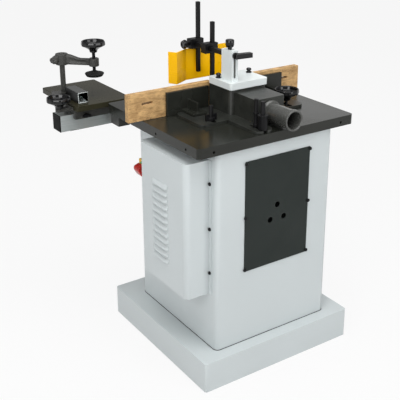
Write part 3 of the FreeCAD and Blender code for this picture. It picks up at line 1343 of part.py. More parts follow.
def build_carrier():
    leftwards = lambda x, y: x < 0
    lug = rounded("carrier_lug", (f"{lug_right} - lug_reach", lug_right),
                  (f"{wheel_line} - lug_width / 2", f"{wheel_line} + lug_width / 2"),
                  (f"{lug_top} - lug_thickness", lug_top), "lug_corner", leftwards)
    strip = block("carrier_strip", (f"{lug_right} - upstand", lug_right),
                  (f"{lug_face}", f"{lug_face} + lug_depth"), (f"{lug_top} - lug_thickness", lug_top))
    upstand = block("carrier_upstand", (f"{lug_right} - upstand", lug_right),
                    (block_near, f"{lug_face} + lug_depth"),
                    (f"{lug_top} - lug_thickness", block_top))
    post_seat = block("carrier_block", (f"{lug_right} - upstand", f"{post_at} + post_block_right"),
                      (block_near, block_far),
                      (block_foot, block_top))
    post_hole = rod("carrier_post_hole", "post_diameter + 2 * run_gap", "3 * post_block_height",
                    (f"{post_at}", f"{post_line}", f"{block_foot} - post_block_height"))
    stud_hole = rod("carrier_stud_hole", "wheel_stud + 2 * run_gap", "3 * lug_thickness",
                    (f"{wheel_at}", f"{wheel_line}", f"{lug_top} - 2 * lug_thickness"))
    node("fence_carrier",
         cut("carrier_machined", fuse("carrier_cast", lug, strip, upstand, post_seat), post_hole, stud_hole))
    tube = block("tube_bar", (f"{tube_start}", f"{tube_start} + tube_section"),
                 (f"{tube_face}", block_near),
                 (block_foot, f"{block_foot} + tube_section"))
    bore = block("tube_bore", (f"{tube_start} + tube_wall", f"{tube_start} + tube_section - tube_wall"),
                 (f"{tube_face} - tool_overrun", f"{block_near} - tube_wall"),
                 (f"{block_foot} + tube_wall", f"{block_foot} + tube_section - tube_wall"))
    node("fence_tube", cut("tube_open", tube, bore))
    wheel = dish_wheel("carrier_dish", (f"{wheel_at}", f"{wheel_line}", f"{lug_top} + slide_gap"))
    stud = rod("carrier_stud", "wheel_stud", "lug_thickness + wheel_hub",
               (f"{wheel_at}", f"{wheel_line}", f"{lug_top} - lug_thickness"))
    node("carrier_wheel", fuse("carrier_wheel_and_stud", wheel, stud))


def build_clamp():
    node("clamp_post",
         rod("post_bar", "post_diameter", f"{post_head} - {block_foot}",
             (f"{post_at}", f"{post_line}", block_foot)))
    boss = rod("arm_post_boss", "2 * arm_boss", "arm_boss_height",
               (f"{post_at}", f"{post_line}", f"{boss_foot}"))
    nose = rod("arm_screw_boss", "2 * screw_boss", "screw_boss_height",
               (f"{clamp_at}", f"{clamp_line}", f"{nose_foot}"))
    run_x, run_y = f"({clamp_at} - {post_at})", f"({clamp_line} - {post_line})"
    reach = f"sqrt({run_x} * {run_x} + {run_y} * {run_y})"
    across = [(f"({run_y} / {reach})", f"(-1 * {run_x} / {reach})"),
              (f"(-1 * {run_y} / {reach})", f"({run_x} / {reach})")]
    thick, thin = "arm_boss * 0.62", "screw_boss * 0.6"
    outline = [(f"{post_at} + {across[0][0]} * {thick}", f"{post_line} + {across[0][1]} * {thick}"),
               (f"{clamp_at} + {across[0][0]} * {thin}", f"{clamp_line} + {across[0][1]} * {thin}"),
               (f"{clamp_at} + {across[1][0]} * {thin}", f"{clamp_line} + {across[1][1]} * {thin}"),
               (f"{post_at} + {across[1][0]} * {thick}", f"{post_line} + {across[1][1]} * {thick}")]
    web = padded("arm_web_plate", outline,
                 f"{nose_foot} + (screw_boss_height - arm_web) / 2 + arm_web_lift",
                 f"{nose_foot} + (screw_boss_height + arm_web) / 2 + arm_web_lift")
    ears = block("arm_ears", (f"{post_at} - arm_boss * 1.75", f"{post_at}"),
                 (f"{post_line} - arm_boss * 0.55", f"{post_line} + arm_boss * 0.55"),
                 (f"{boss_foot} + ear_lift", f"{boss_foot} + arm_boss_height * 0.75"))
    post_hole = rod("arm_post_hole", "post_diameter + 2 * run_gap", "3 * arm_boss_height",
                    (f"{post_at}", f"{post_line}", f"{boss_foot} - arm_boss_height"))
    split = block("arm_split_cut", (f"{post_at} - arm_boss * 2", f"{post_at}"),
                  (f"{post_line} - arm_split / 2", f"{post_line} + arm_split / 2"),
                  (f"{boss_foot} - tool_overrun", f"{boss_foot} + arm_boss_height + tool_overrun"))
    screw_hole = rod("arm_screw_way", "clamp_screw + 2 * run_gap", "3 * screw_boss_height",
                     (f"{clamp_at}", f"{clamp_line}", f"{nose_foot} - screw_boss_height"))
    node("clamp_arm",
         cut("arm_machined", fuse("arm_cast", boss, nose, web, ears), post_hole, split, screw_hole))
    axis = (f"{clamp_at}", f"{clamp_line}")
    wheel_rise = f"({dish_foot} + wheel_height * 0.4)"
    node("clamp_screw",
         rod("clamp_screw_bar", "clamp_screw", f"{wheel_rise} - {bar_foot} - slide_gap",
             (*axis, f"{bar_foot} + slide_gap")))
    wheel = dish_wheel("clamp_dish", (*axis, f"{dish_foot}"))
    wheel_bore = rod("clamp_wheel_bore", "clamp_screw", "wheel_height * 0.4", (*axis, f"{dish_foot}"))
    node("clamp_wheel", cut("clamp_wheel_drilled", wheel, wheel_bore))
    pad_top = f"{bar_foot} - {pad_low}"
    profile = [("0", "0"), ("pad_diameter * 0.44", "0"), ("pad_diameter / 2", "pad_height * 0.55"),
               ("pad_diameter * 0.46", "pad_height * 0.72"), ("clamp_screw * 0.9", "pad_height * 0.72"),
               ("clamp_screw * 0.9", pad_top), ("0", pad_top)]
    node("clamp_pad", turned("pad_turned", profile, (*axis, f"{pad_low}")))


# Push-button station on the left wall, near the operator's corner
switch_face = f"({cabinet_left} - switch_depth)"
paddle_top = "(switch_foot + switch_margin + paddle_height)"


def build_switch():
    half = "switch_width / 2"
    case = rounded("switch_case", (switch_face, cabinet_left), (f"switch_y - {half}", f"switch_y + {half}"),
                   ("switch_foot", "switch_foot + switch_height"), "switch_corner", lambda x, y: x < 0)
    start_z = f"({paddle_top} + (switch_foot + switch_height - {paddle_top}) / 2)"
    well = rod("switch_start_well", "start_button + 2 * slide_gap", "start_reach * 2 + 2 * start_travel",
               (f"{switch_face} + start_reach + start_travel", "switch_y", start_z), MINUS_X_AXIS)
    node("switch_box", cut("switch_moulded", case, well))
    wide = "(switch_width / 2 - switch_margin / 2)"
    barrel = rod("paddle_barrel", "paddle_leaf", "2 * " + wide,
                 (f"{switch_face} - slide_gap - paddle_leaf / 2", f"switch_y - {wide}", paddle_top),
                 Y_AXIS)
    leaf = block("paddle_plate",
                 (f"{switch_face} - slide_gap - paddle_leaf", f"{switch_face} - slide_gap"),
                 (f"switch_y - {wide}", f"switch_y + {wide}"), ("switch_foot + switch_margin", paddle_top))
    button = rod("paddle_button_disc", "paddle_button", "paddle_depth",
                 (f"{switch_face} - slide_gap", "switch_y",
                  "switch_foot + switch_margin + paddle_height * 0.5"),
                 MINUS_X_AXIS)
    node("stop_paddle", fuse("paddle_moulded", leaf, barrel, button))
    node("start_button", rod("start_plunger", "start_button", "start_reach * 2",
                             (f"{switch_face} + start_reach", "switch_y", start_z), MINUS_X_AXIS))


for build in (build_plinth, build_cabinet, build_screws, build_motor_cover, build_access_panel, build_table,
              build_slideway, build_carriage, build_motor, build_drive, build_spindle, build_rise,
              build_fence_base, build_dust_port, build_studs, build_fence_lock, build_fence_halves,
              build_lid, build_column, build_arm, build_pressure_gear, build_rail, build_sliding_table,
              build_carrier, build_clamp, build_switch):
    build()
doc.recompute()

# Every object must be computed, and every piece whole, before anything is written
failed = [item.Name for item in doc.Objects if "Invalid" in item.State or "Error" in item.State]
broken = [item.Label for item in NODES
          if item.Shape.isNull() or not item.Shape.isValid() or not item.Shape.Solids]
if failed or broken:
    raise RuntimeError(f"failed objects {failed}, broken pieces {broken}")
os.makedirs("parts", exist_ok=True)
for item in NODES:
    item.Shape.exportStep(f"parts/{item.Label}.step")
print(len(NODES), "pieces written")
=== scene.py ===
"""Spindle moulder: finishes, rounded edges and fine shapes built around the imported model."""
import json
import math

import bmesh
import bpy
import numpy as np
from bpy.props import FloatProperty, FloatVectorProperty, IntProperty, PointerProperty
from mathutils import Matrix, Vector


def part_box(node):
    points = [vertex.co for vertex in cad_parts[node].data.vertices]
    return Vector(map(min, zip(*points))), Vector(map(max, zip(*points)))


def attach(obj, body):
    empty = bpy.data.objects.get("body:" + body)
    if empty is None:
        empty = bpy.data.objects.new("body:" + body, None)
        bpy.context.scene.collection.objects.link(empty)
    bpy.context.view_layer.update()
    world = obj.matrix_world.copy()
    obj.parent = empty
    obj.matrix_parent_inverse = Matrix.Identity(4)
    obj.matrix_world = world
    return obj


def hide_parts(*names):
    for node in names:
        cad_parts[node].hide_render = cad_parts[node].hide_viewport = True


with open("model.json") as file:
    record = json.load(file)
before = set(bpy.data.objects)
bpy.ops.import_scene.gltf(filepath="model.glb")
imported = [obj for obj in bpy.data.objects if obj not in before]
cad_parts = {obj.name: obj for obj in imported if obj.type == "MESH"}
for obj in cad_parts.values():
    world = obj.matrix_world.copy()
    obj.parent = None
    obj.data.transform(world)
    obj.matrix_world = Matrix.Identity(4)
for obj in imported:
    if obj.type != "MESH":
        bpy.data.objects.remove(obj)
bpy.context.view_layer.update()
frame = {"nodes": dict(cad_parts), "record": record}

bl_info = {
    "name": "Spindle Moulder",
    "version": (1, 0, 0),
    "blender": (4, 5, 0),
    "location": "View3D > Sidebar > Moulder",
    "description": "Finishes and fine shapes of a spindle moulder",
    "category": "Object",
}

NODES = frame["nodes"]
MM = 0.001
FULL_TURN = 2.0 * math.pi
QUARTER_TURN = 0.5 * math.pi
# Finishes by the record's slot names, filled by the first operator
FINISHES = {}


# Settings of the panel's steps
def colour_property(name, default, description):
    return FloatVectorProperty(name=name, description=description, default=default, subtype="COLOR", size=3,
                               min=0.0, max=1.0)


def length_property(name, default, description):
    return FloatProperty(name=name, description=description, default=default, subtype="DISTANCE",
                         unit="LENGTH")


def share_property(name, default, largest, description):
    return FloatProperty(name=name, description=description, default=default, subtype="FACTOR", min=0.0,
                         max=largest)


def count_property(name, default, description):
    return IntProperty(name=name, description=description, default=default, min=0)


def angle_property(name, degrees, description):
    return FloatProperty(name=name, description=description, default=math.radians(degrees), subtype="ANGLE",
                         unit="ROTATION")


def power_property(name, default, description):
    return FloatProperty(name=name, description=description, default=default, subtype="POWER")


class MoulderFinishes(bpy.types.PropertyGroup):
    """Colours of the finishes, as linear values."""
    paint: colour_property("Paint", (0.53, 0.572, 0.58), "Enamel of the cabinet, plinth and cover")
    # Light paint: the cabinet's enamel made paler, painted light on the lid and the column whose faces fall
    # in shade
    light: colour_property("Light paint", (0.66, 0.705, 0.705), "Enamel of the lid and the column")
    panel: colour_property("Panel", (0.016, 0.021, 0.019), "Matt coat of the access panel")
    iron: colour_property("Table iron", (0.014, 0.015, 0.012), "Ground iron of the table")
    plate: colour_property("Slide plate", (0.024, 0.0225, 0.013), "Oiled iron of the sliding plate")
    casting: colour_property("Fence casting", (0.020, 0.0215, 0.0185), "Paint on the fence casting")
    tube: colour_property("Fence tube", (0.11, 0.113, 0.11), "Dull metal of the slide's fence tube")
    post: colour_property("Clamp post", (0.040, 0.040, 0.037), "Oiled steel of the clamp post")
    cast: colour_property("Cast grey", (0.038, 0.038, 0.035), "Paint on the clamp arm, saddle and carrier")
    steel: colour_property("Bright steel", (0.55, 0.55, 0.54), "Turned steel of shafts, nuts and screws")
    dark_steel: colour_property("Dark steel", (0.0045, 0.0045, 0.005), "Blackened bars, screws and blocks")
    rail: colour_property("Rail", (0.55, 0.585, 0.58), "Satin metal of the rail and bare metal of the tube")
    black: colour_property("Black", (0.0035, 0.0035, 0.004), "Moulded wheels, knobs and caps")
    # The foot seam is a dark bead that paints the shadow of the gap between cabinet and plinth
    rubber: colour_property("Rubber", (0.006, 0.006, 0.006), "Belt, clamp pad and foot seam")
    wood: colour_property("Wood", (0.49, 0.31, 0.137), "Planed wood of the fence boards")
    wood_grain: colour_property("Grain", (0.29, 0.16, 0.06), "Darker grain of the fence boards")
    guard: colour_property("Guard", (0.93, 0.50, 0.0), "Gloss paint of the cutter guard")
    switch: colour_property("Switch case", (0.72, 0.42, 0.02), "Moulded switch case")
    stop: colour_property("Stop", (0.42, 0.022, 0.016), "Stop flap")
    start: colour_property("Start", (0.02, 0.26, 0.06), "Start button")
    spout: colour_property("Spout", (0.05, 0.051, 0.047), "Painted dust spout")
    motor: colour_property("Motor", (0.20, 0.21, 0.22), "Painted motor housing")


class MoulderShapes(bpy.types.PropertyGroup):
    """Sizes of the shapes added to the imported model."""
    wheel_height: length_property("Wheel height", 0.046, "From the hub's foot to the rim's top")
    wheel_lobes: count_property("Wheel lobes", 10, "Scallops round a hand wheel's rim")
    lobe_depth: share_property("Lobe depth", 0.03, 0.3, "Depth of a scallop as a share of the radius")
    stud_radius: length_property("Stud radius", 0.006, "Radius of a hand wheel's stud")
    thread_pitch: length_property("Thread pitch", 0.003, "Rise of a thread in one turn")
    thread_depth: length_property("Thread depth", 0.0009, "Depth of a thread")
    arm_groove: share_property("Arm groove", 0.35, 0.8, "Depth of the clamp arm's side groove as a share")
    louvre_count: count_property("Louvres", 12, "Number of louvres in the motor cover")
    louvre_first: length_property("First louvre", 0.094, "Height of the lowest lip above the cover's foot")
    louvre_pitch: length_property("Louvre pitch", 0.0265, "Height from one louvre to the next")
    louvre_y: length_property("Louvre place", -0.074, "Middle of the louvres along Y")
    louvre_length: length_property("Louvre length", 0.106, "Length of one louvre along Y")
    louvre_height: length_property("Louvre height", 0.016, "Height of one hood")
    louvre_depth: length_property("Louvre depth", 0.007, "How far a hood swells from the sheet")


class MoulderStage(bpy.types.PropertyGroup):
    """Camera, lamps and floor."""
    camera_place: FloatVectorProperty(
        name="Camera place", description="Where the camera stands, in the part's frame",
        default=(-1.6846, -2.3297, 1.8213), subtype="TRANSLATION", unit="LENGTH")
    camera_yaw: angle_property("Camera yaw", 33.613, "Turn from the +Y direction towards +X")
    camera_pitch: angle_property("Camera pitch", 19.476, "Tilt below the horizon")
    camera_roll: angle_property("Camera roll", 0.223, "Turn about the line of sight")
    lens: FloatProperty(name="Lens", description="Focal length in millimetres", default=71.53)
    shift: FloatProperty(name="Shift", description="Lens shift along the picture's height", default=-0.15)
    floor_colour: colour_property("Floor", (0.62, 0.62, 0.62), "Colour of the studio floor")
    overhead_power: power_property("Overhead", 75.0, "Power of the overhead softbox")
    left_power: power_property("Left", 58.0, "Power of the softbox on the left")
    right_power: power_property("Right", 38.0, "Power of the softbox on the right")
    far_power: power_property("Far", 5.0, "Power of the softbox behind the object")


def node_box(node):
    """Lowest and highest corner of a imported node, in millimetres."""
    low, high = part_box(node)
    return np.array(low) / MM, np.array(high) / MM


def middle_of(node):
    low, high = node_box(node)
    return (low + high) / 2.0


# Finishes, all on object coordinates so that they move with their pieces
def shade(colour, factor):
    return tuple(min(1.0, c * factor) for c in colour)


class Finish:
    """A material with one Principled shader, and short calls that add texture nodes to it."""

    def __init__(self, name, colour, roughness, metallic=0.0, specular=0.5):
        self.material = bpy.data.materials.new(name)
        self.material.use_nodes = True
        self.tree = self.material.node_tree
        self.shader = self.tree.nodes["Principled BSDF"]
        self.material.diffuse_color = (*colour, 1.0)
        self.fill(self.shader, {"Base Color": (*colour, 1.0), "Roughness": roughness, "Metallic": metallic,
                                "Specular IOR Level": specular})

    def node(self, kind, **settings):
        made = self.tree.nodes.new(kind)
        for key, value in settings.items():
            setattr(made, key, value)
        return made

    def fill(self, node, values):
        """Set a node's inputs by their names."""
        for key, value in values.items():
            node.inputs[key].default_value = value

    def link(self, source, target):
        self.tree.links.new(source, target)

    def place(self, scale=(1.0, 1.0, 1.0), centre=(0.0, 0.0, 0.0)):
        """Object coordinates, moved to a centre and scaled."""
        where = self.node("ShaderNodeTexCoord")
        mapping = self.node("ShaderNodeMapping", vector_type="TEXTURE")
        self.fill(mapping, {"Location": centre, "Scale": [1.0 / s for s in scale]})
        self.link(where.outputs["Object"], mapping.inputs["Vector"])
        return mapping.outputs["Vector"]

    def noise(self, where, scale=1.0, detail=3.0, roughness=0.5, distortion=0.0):
        made = self.node("ShaderNodeTexNoise")
        self.link(where, made.inputs["Vector"])
        self.fill(made, {"Scale": scale, "Detail": detail, "Roughness": roughness, "Distortion": distortion})
        return made.outputs["Fac"]

    def spread(self, value, low=0.0, high=1.0, from_low=0.3, from_high=0.7):
        """A noise value taken from one range to another."""
        made = self.node("ShaderNodeMapRange")
        self.link(value, made.inputs["Value"])
        self.fill(made, {"From Min": from_low, "From Max": from_high, "To Min": low, "To Max": high})
        return made.outputs["Result"]

    def colours(self, factor, low, high):
        """A mix of two colours by a factor."""
        made = self.node("ShaderNodeMix", data_type="RGBA")
        self.link(factor, made.inputs[0])
        for socket, colour in ((made.inputs[6], low), (made.inputs[7], high)):
            if isinstance(colour, bpy.types.NodeSocket):
                self.link(colour, socket)
            else:
                socket.default_value = (*colour, 1.0)
        return made.outputs[2]

    def tint(self, value, colour, low, high):
        """One colour between two shares of its own strength, by a noise value."""
        return self.colours(self.spread(value), shade(colour, low), shade(colour, high))

    def maths(self, operation, *values):
        """One Math node on sockets or plain numbers."""
        made = self.node("ShaderNodeMath", operation=operation)
        for socket, value in zip(made.inputs, values):
            if isinstance(value, bpy.types.NodeSocket):
                self.link(value, socket)
            else:
                socket.default_value = value
        return made.outputs[0]

    def base(self, socket):
        self.link(socket, self.shader.inputs["Base Color"])

    def rough(self, value, low, high):
        """Roughness between two bounds, by a noise value."""
        self.link(self.spread(value, low, high), self.shader.inputs["Roughness"])

    def bump(self, height, strength, distance):
        made = self.node("ShaderNodeBump")
        self.fill(made, {"Strength": strength, "Distance": distance})
        self.link(height, made.inputs["Height"])
        self.link(made.outputs["Normal"], self.shader.inputs["Normal"])


def enamel(name, colour, roughness=0.32, specular=0.4):
    """Sprayed enamel: slow changes of tone, a fine orange-peel skin and uneven gloss."""
    finish = Finish(name, colour, roughness, specular=specular)
    where = finish.place()
    tone = finish.noise(where, scale=2.5, detail=1.5)
    gloss = finish.noise(where, scale=6.0, detail=2.0)
    finish.base(finish.tint(tone, colour, 0.975, 1.015))
    finish.rough(gloss, roughness - 0.04, roughness + 0.04)
    finish.bump(finish.noise(where, scale=380.0, detail=1.0), strength=0.04, distance=0.0004)
    return finish.material


def matt_coat(name, colour):
    """Fine powder coat: a dense small grain and dusty patches."""
    finish = Finish(name, colour, 0.55, specular=0.2)
    where = finish.place()
    grain = finish.noise(where, scale=900.0, detail=2.0)
    dust = finish.noise(where, scale=9.0, detail=5.0)
    finish.base(finish.tint(grain, colour, 0.85, 1.15))
    finish.rough(dust, 0.48, 0.64)
    finish.bump(finish.spread(grain), strength=0.12, distance=0.0004)
    return finish.material


def ground_iron(name, colour, specular=0.3):
    """Ground and oiled iron: grinding lines along X and an uneven oil film."""
    finish = Finish(name, colour, 0.25, specular=specular)
    lines = finish.noise(finish.place((4.0, 420.0, 40.0)), detail=2.0)
    film = finish.noise(finish.place(), scale=5.0, distortion=0.3)
    tone = finish.tint(film, colour, 0.85, 1.2)
    finish.base(finish.colours(finish.spread(lines, 0.0, 0.35), tone, shade(colour, 1.5)))
    finish.rough(film, 0.19, 0.30)
    finish.bump(lines, strength=0.015, distance=0.0002)
    return finish.material


def cast_paint(name, colour, roughness=0.42, specular=0.35):
    """Painted casting: a sandy skin under the paint and thicker paint in patches."""
    finish = Finish(name, colour, roughness, specular=specular)
    where = finish.place()
    sand = finish.noise(where, scale=260.0, detail=4.0, roughness=0.6)
    patch = finish.noise(where, scale=22.0, detail=4.0)
    finish.base(finish.tint(patch, colour, 0.75, 1.35))
    finish.rough(sand, roughness - 0.1, roughness + 0.12)
    finish.bump(sand, strength=0.22, distance=0.0008)
    return finish.material


def turned_steel(name, colour):
    """Turned steel: fine rings across the Z axis and a faint film."""
    finish = Finish(name, colour, 0.28, metallic=1.0)
    rings = finish.noise(finish.place((40.0, 40.0, 1600.0)))
    film = finish.noise(finish.place(), scale=30.0, detail=4.0)
    finish.base(finish.tint(film, colour, 0.82, 1.05))
    finish.rough(rings, 0.18, 0.40)
    finish.bump(rings, strength=0.06, distance=0.0002)
    return finish.material


def black_oxide(name, colour):
    """Blackened bars: drawn lines, with lighter rubbed streaks."""
    finish = Finish(name, colour, 0.4, specular=0.16)
    lines = finish.noise(finish.place((90.0, 90.0, 12.0)))
    finish.base(finish.tint(lines, colour, 0.7, 1.8))
    finish.rough(lines, 0.34, 0.50)
    finish.bump(lines, strength=0.05, distance=0.0003)
    return finish.material


def satin_rail(name, colour):
    """Satin metal: long brushed lines along X and dull handled patches."""
    finish = Finish(name, colour, 0.34, metallic=0.85)
    lines = finish.noise(finish.place((5.0, 500.0, 500.0)), roughness=0.6)
    patch = finish.noise(finish.place(), scale=14.0, detail=4.0)
    finish.base(finish.tint(lines, colour, 0.86, 1.12))
    finish.rough(patch, 0.26, 0.46)
    finish.bump(lines, strength=0.06, distance=0.0002)
    return finish.material


# Fence tube, in metres: depth of its pale sawn face, a little less than its wall, and the outer skin of its
# left side that takes painted shade
SAWN_DEPTH, TUBE_WALL, PAINTED_SHADE_SKIN = 0.0028, 0.0028, 0.0007
# How much paler the tube's bare inside is than its sawn face: painted light that lifts the shade inside the
# tube
INSIDE_PAINTED_LIFT = 1.4


def sawn_tube(name, colour, bright, dark):
    """Dull tube: brushed lines along Y, painted shade on its left side, and bare metal on the sawn face and
    inside, painted paler inside as painted light against the shade there.
    """
    low, high = node_box("fence_tube")
    half = (high - low) / 2.0 * MM
    finish = Finish(name, colour, 0.4, metallic=0.6)
    lines = finish.noise(finish.place((300.0, 5.0, 300.0)), roughness=0.6)
    split = finish.node("ShaderNodeSeparateXYZ")
    finish.link(finish.place(centre=(low + high) / 2.0 * MM), split.inputs[0])
    x, y, z = split.outputs
    across = finish.maths("MAXIMUM", finish.maths("ABSOLUTE", x), finish.maths("ABSOLUTE", z))
    # Painted shade: the outer skin of the left wall is coloured dark where the tube's side falls in shadow
    painted_shade_side = finish.maths("LESS_THAN", x, PAINTED_SHADE_SKIN - half[0])
    # Bare metal inside, painted paler than the sawn face as painted light that lifts the shade in the bore
    inside = finish.maths("LESS_THAN", across, half[0] - TUBE_WALL)
    in_front = finish.maths("LESS_THAN", y, SAWN_DEPTH - half[1])
    body = finish.tint(lines, colour, 0.86, 1.12)
    body = finish.colours(painted_shade_side, body, dark)
    body = finish.colours(inside, body, shade(bright, INSIDE_PAINTED_LIFT))
    finish.base(finish.colours(in_front, body, bright))
    finish.rough(lines, 0.32, 0.48)
    finish.bump(lines, strength=0.06, distance=0.0002)
    return finish.material


def moulded(name, colour, roughness=0.12, specular=0.28):
    """Moulded plastic: uneven gloss from handling and a faint skin."""
    finish = Finish(name, colour, roughness, specular=specular)
    where = finish.place()
    finger = finish.noise(where, scale=40.0)
    finish.base(finish.tint(finger, colour, 0.9, 1.12))
    finish.rough(finger, roughness - 0.04, roughness + 0.08)
    finish.bump(finish.noise(where, scale=600.0, detail=2.0), strength=0.03, distance=0.0003)
    return finish.material


def dull_rubber(name, colour):
    """Matt rubber: a dusty, slightly pitted skin."""
    finish = Finish(name, colour, 0.75, specular=0.25)
    where = finish.place()
    dust = finish.noise(where, scale=60.0, detail=5.0)
    finish.base(finish.tint(dust, colour, 0.8, 1.8))
    finish.bump(finish.noise(where, scale=500.0), strength=0.2, distance=0.0004)
    return finish.material


# Where the pattern of the wood's stains starts, away from that of its haze
STAIN_PLACE = (0.4, 0.2, 0.1)


def planed_wood(name, colour, grain):
    """Planed wood: wavy growth lines along X, short dark pores, a pale worn haze and dark stains."""
    finish = Finish(name, colour, 0.55, specular=0.3)
    bands = finish.noise(finish.place((9.0, 30.0, 44.0)), detail=6.0, roughness=0.7, distortion=1.4)
    pores = finish.noise(finish.place((26.0, 700.0, 700.0)), detail=2.0)
    haze = finish.noise(finish.place((26.0, 40.0, 46.0)), detail=5.0, roughness=0.7)
    stain = finish.noise(finish.place((30.0, 42.0, 50.0), STAIN_PLACE), detail=6.0, roughness=0.75)
    body = finish.colours(finish.spread(bands, 0.0, 1.0, 0.36, 0.66), colour, grain)
    worn = finish.colours(finish.spread(haze, 0.0, 0.9, 0.42, 0.62), body, shade(colour, 1.3))
    marked = finish.colours(finish.spread(stain, 0.0, 0.75, 0.57, 0.70), worn, shade(grain, 0.3))
    finish.base(finish.colours(finish.spread(pores, 0.0, 0.7, 0.60, 0.72), marked, shade(grain, 0.45)))
    finish.rough(bands, 0.46, 0.64)
    finish.bump(pores, strength=0.14, distance=0.0005)
    return finish.material


def make_finishes(tones):
    """The finishes by the record's slot names."""
    return {
        "white_paint": enamel("white_enamel", tones.paint),
        "dark_panel": matt_coat("panel_coat", tones.panel),
        "table_iron": ground_iron("ground_iron", tones.iron),
        "grey_iron": cast_paint("cast_grey", tones.cast),
        "motor_grey": cast_paint("motor_paint", tones.motor, roughness=0.45),
        "spout_grey": cast_paint("spout_paint", tones.spout, roughness=0.22, specular=0.7),
        "bright_steel": turned_steel("turned_steel", tones.steel),
        "dark_steel": black_oxide("black_oxide", tones.dark_steel),
        "silver_rail": satin_rail("satin_rail", tones.rail),
        "black_gloss": moulded("moulded_black", tones.black, roughness=0.1, specular=0.4),
        "black_rubber": dull_rubber("dull_rubber", tones.rubber),
        "board_wood": planed_wood("planed_wood", tones.wood, tones.wood_grain),
        "guard_yellow": enamel("guard_enamel", tones.guard, roughness=0.3, specular=0.2),
        "switch_yellow": moulded("switch_case", tones.switch, roughness=0.3),
        "stop_red": moulded("stop_red", tones.stop, roughness=0.22),
        "start_green": moulded("start_green", tones.start, roughness=0.22),
    }


def make_node_finishes(tones):
    """The finishes of single nodes that differ from the rest of their slot."""
    # A paler copy of the white enamel as painted light, against the shade on the lid and the column
    light = enamel("painted_light_enamel", tones.light)
    blocks = cast_paint("block_paint", tones.dark_steel, specular=0.2)
    return {
        "fence_hood": cast_paint("fence_casting", tones.casting, roughness=0.34),
        # The tube's left side takes the black as painted shade, and its inside a painted lift of light
        "fence_tube": sawn_tube("dull_tube", tones.tube, tones.rail, tones.black),
        "slide_plate": ground_iron("plate_iron", tones.plate, specular=0.1),
        "clamp_post": black_oxide("post_steel", tones.post),
        "rail_end_caps": moulded("dull_cap", tones.black, roughness=0.5, specular=0.06),
        "hood_lid": light, "guard_column": light,
        "clamp_block_near": blocks, "clamp_block_far": blocks, "guard_arm": blocks,
    }


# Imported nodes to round, by the radius of their edges in millimetres
EDGE_ROUND = {
    5.0: ("plinth",),
    3.0: ("motor_cover",),
    2.5: ("fence_tube",),
    2.0: ("table", "fence_hood", "hood_lid", "fence_carrier", "slide_rail", "column_lever", "switch_box",
          "rise_handwheel"),
    1.5: ("cabinet", "fence_board_left", "fence_board_right", "slide_plate", "slide_saddle", "rail_brackets",
          "clamp_block_near", "clamp_block_far", "panel_screws", "column_knob"),
    1.2: ("guard_column", "fence_plate_left", "fence_plate_right", "saddle_wing_screw"),
    1.0: ("access_panel", "guard_arm", "pressure_bar_near", "pressure_bar_far", "clamp_post",
          "rail_end_caps", "fence_studs"),
    0.8: ("front_guard", "start_button", "table_ring"),
}
# Weld distance in metres, and the angles in degrees of flat and sharp edges
WELD_DISTANCE, FLAT_ANGLE, SHARP_ANGLE = 0.00002, 0.5, 40.0
ROUND_SEGMENTS = 3


def round_edges(node, radius):
    """Weld the node's loose triangles, join flat ones, and round every edge sharper than SHARP_ANGLE."""
    piece = NODES[node]
    weld = piece.modifiers.new("weld", "WELD")
    weld.merge_threshold = WELD_DISTANCE
    flat = piece.modifiers.new("flat", "DECIMATE")
    flat.decimate_type = "DISSOLVE"
    flat.angle_limit = math.radians(FLAT_ANGLE)
    bevel = piece.modifiers.new("round", "BEVEL")
    bevel.width = radius * MM
    bevel.segments = ROUND_SEGMENTS
    bevel.limit_method = "ANGLE"
    bevel.angle_limit = math.radians(SHARP_ANGLE)
    bevel.use_clamp_overlap = True
    bevel.harden_normals = True


class MOULDER_OT_finishes(bpy.types.Operator):
    """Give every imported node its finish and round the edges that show"""
    bl_idname = "moulder.finishes"
    bl_label = "Finishes"

    def execute(self, context):
        tones = context.scene.moulder_finishes
        FINISHES.update(make_finishes(tones))
        own_finish = make_node_finishes(tones)
        for row in frame["record"]["subparts"]:
            piece = NODES[row["node"]]
            piece.data.materials.clear()
            piece.data.materials.append(own_finish.get(row["node"], FINISHES[row["material_slot"]]))
        for radius, nodes in EDGE_ROUND.items():
            for node in nodes:
                round_edges(node, radius)
        return {"FINISHED"}


# Numpy surfaces: each shape is one or more grids of points, given in millimetres
TURNS = {
    "Z": np.eye(3),
    "-X": np.array([[0.0, 0.0, -1.0], [0.0, 1.0, 0.0], [1.0, 0.0, 0.0]]),
    "-Y": np.array([[1.0, 0.0, 0.0], [0.0, 0.0, -1.0], [0.0, 1.0, 0.0]]),
}
# How strongly lobes keep to the largest radius
LOBE_POWER = 6
# Rows of points in one turn of a thread, and points round it
THREAD_ROWS, THREAD_SIDES = 6, 32
# Points on a rounded corner, and rings on a slab's rounded rim
FILLET_STEPS, RIM_STEPS = 6, 6
# Weld distance of seams in metres, and the angle in degrees over which an edge stays sharp
SEAM_WELD, CREASE_ANGLE = 0.000002, 45.0


def smooth_step(value, start, end):
    """0 before start and 1 after end, joined by 3t^2 - 2t^3."""
    t = np.clip((value - start) / (end - start), 0.0, 1.0)
    return t * t * (3.0 - 2.0 * t)


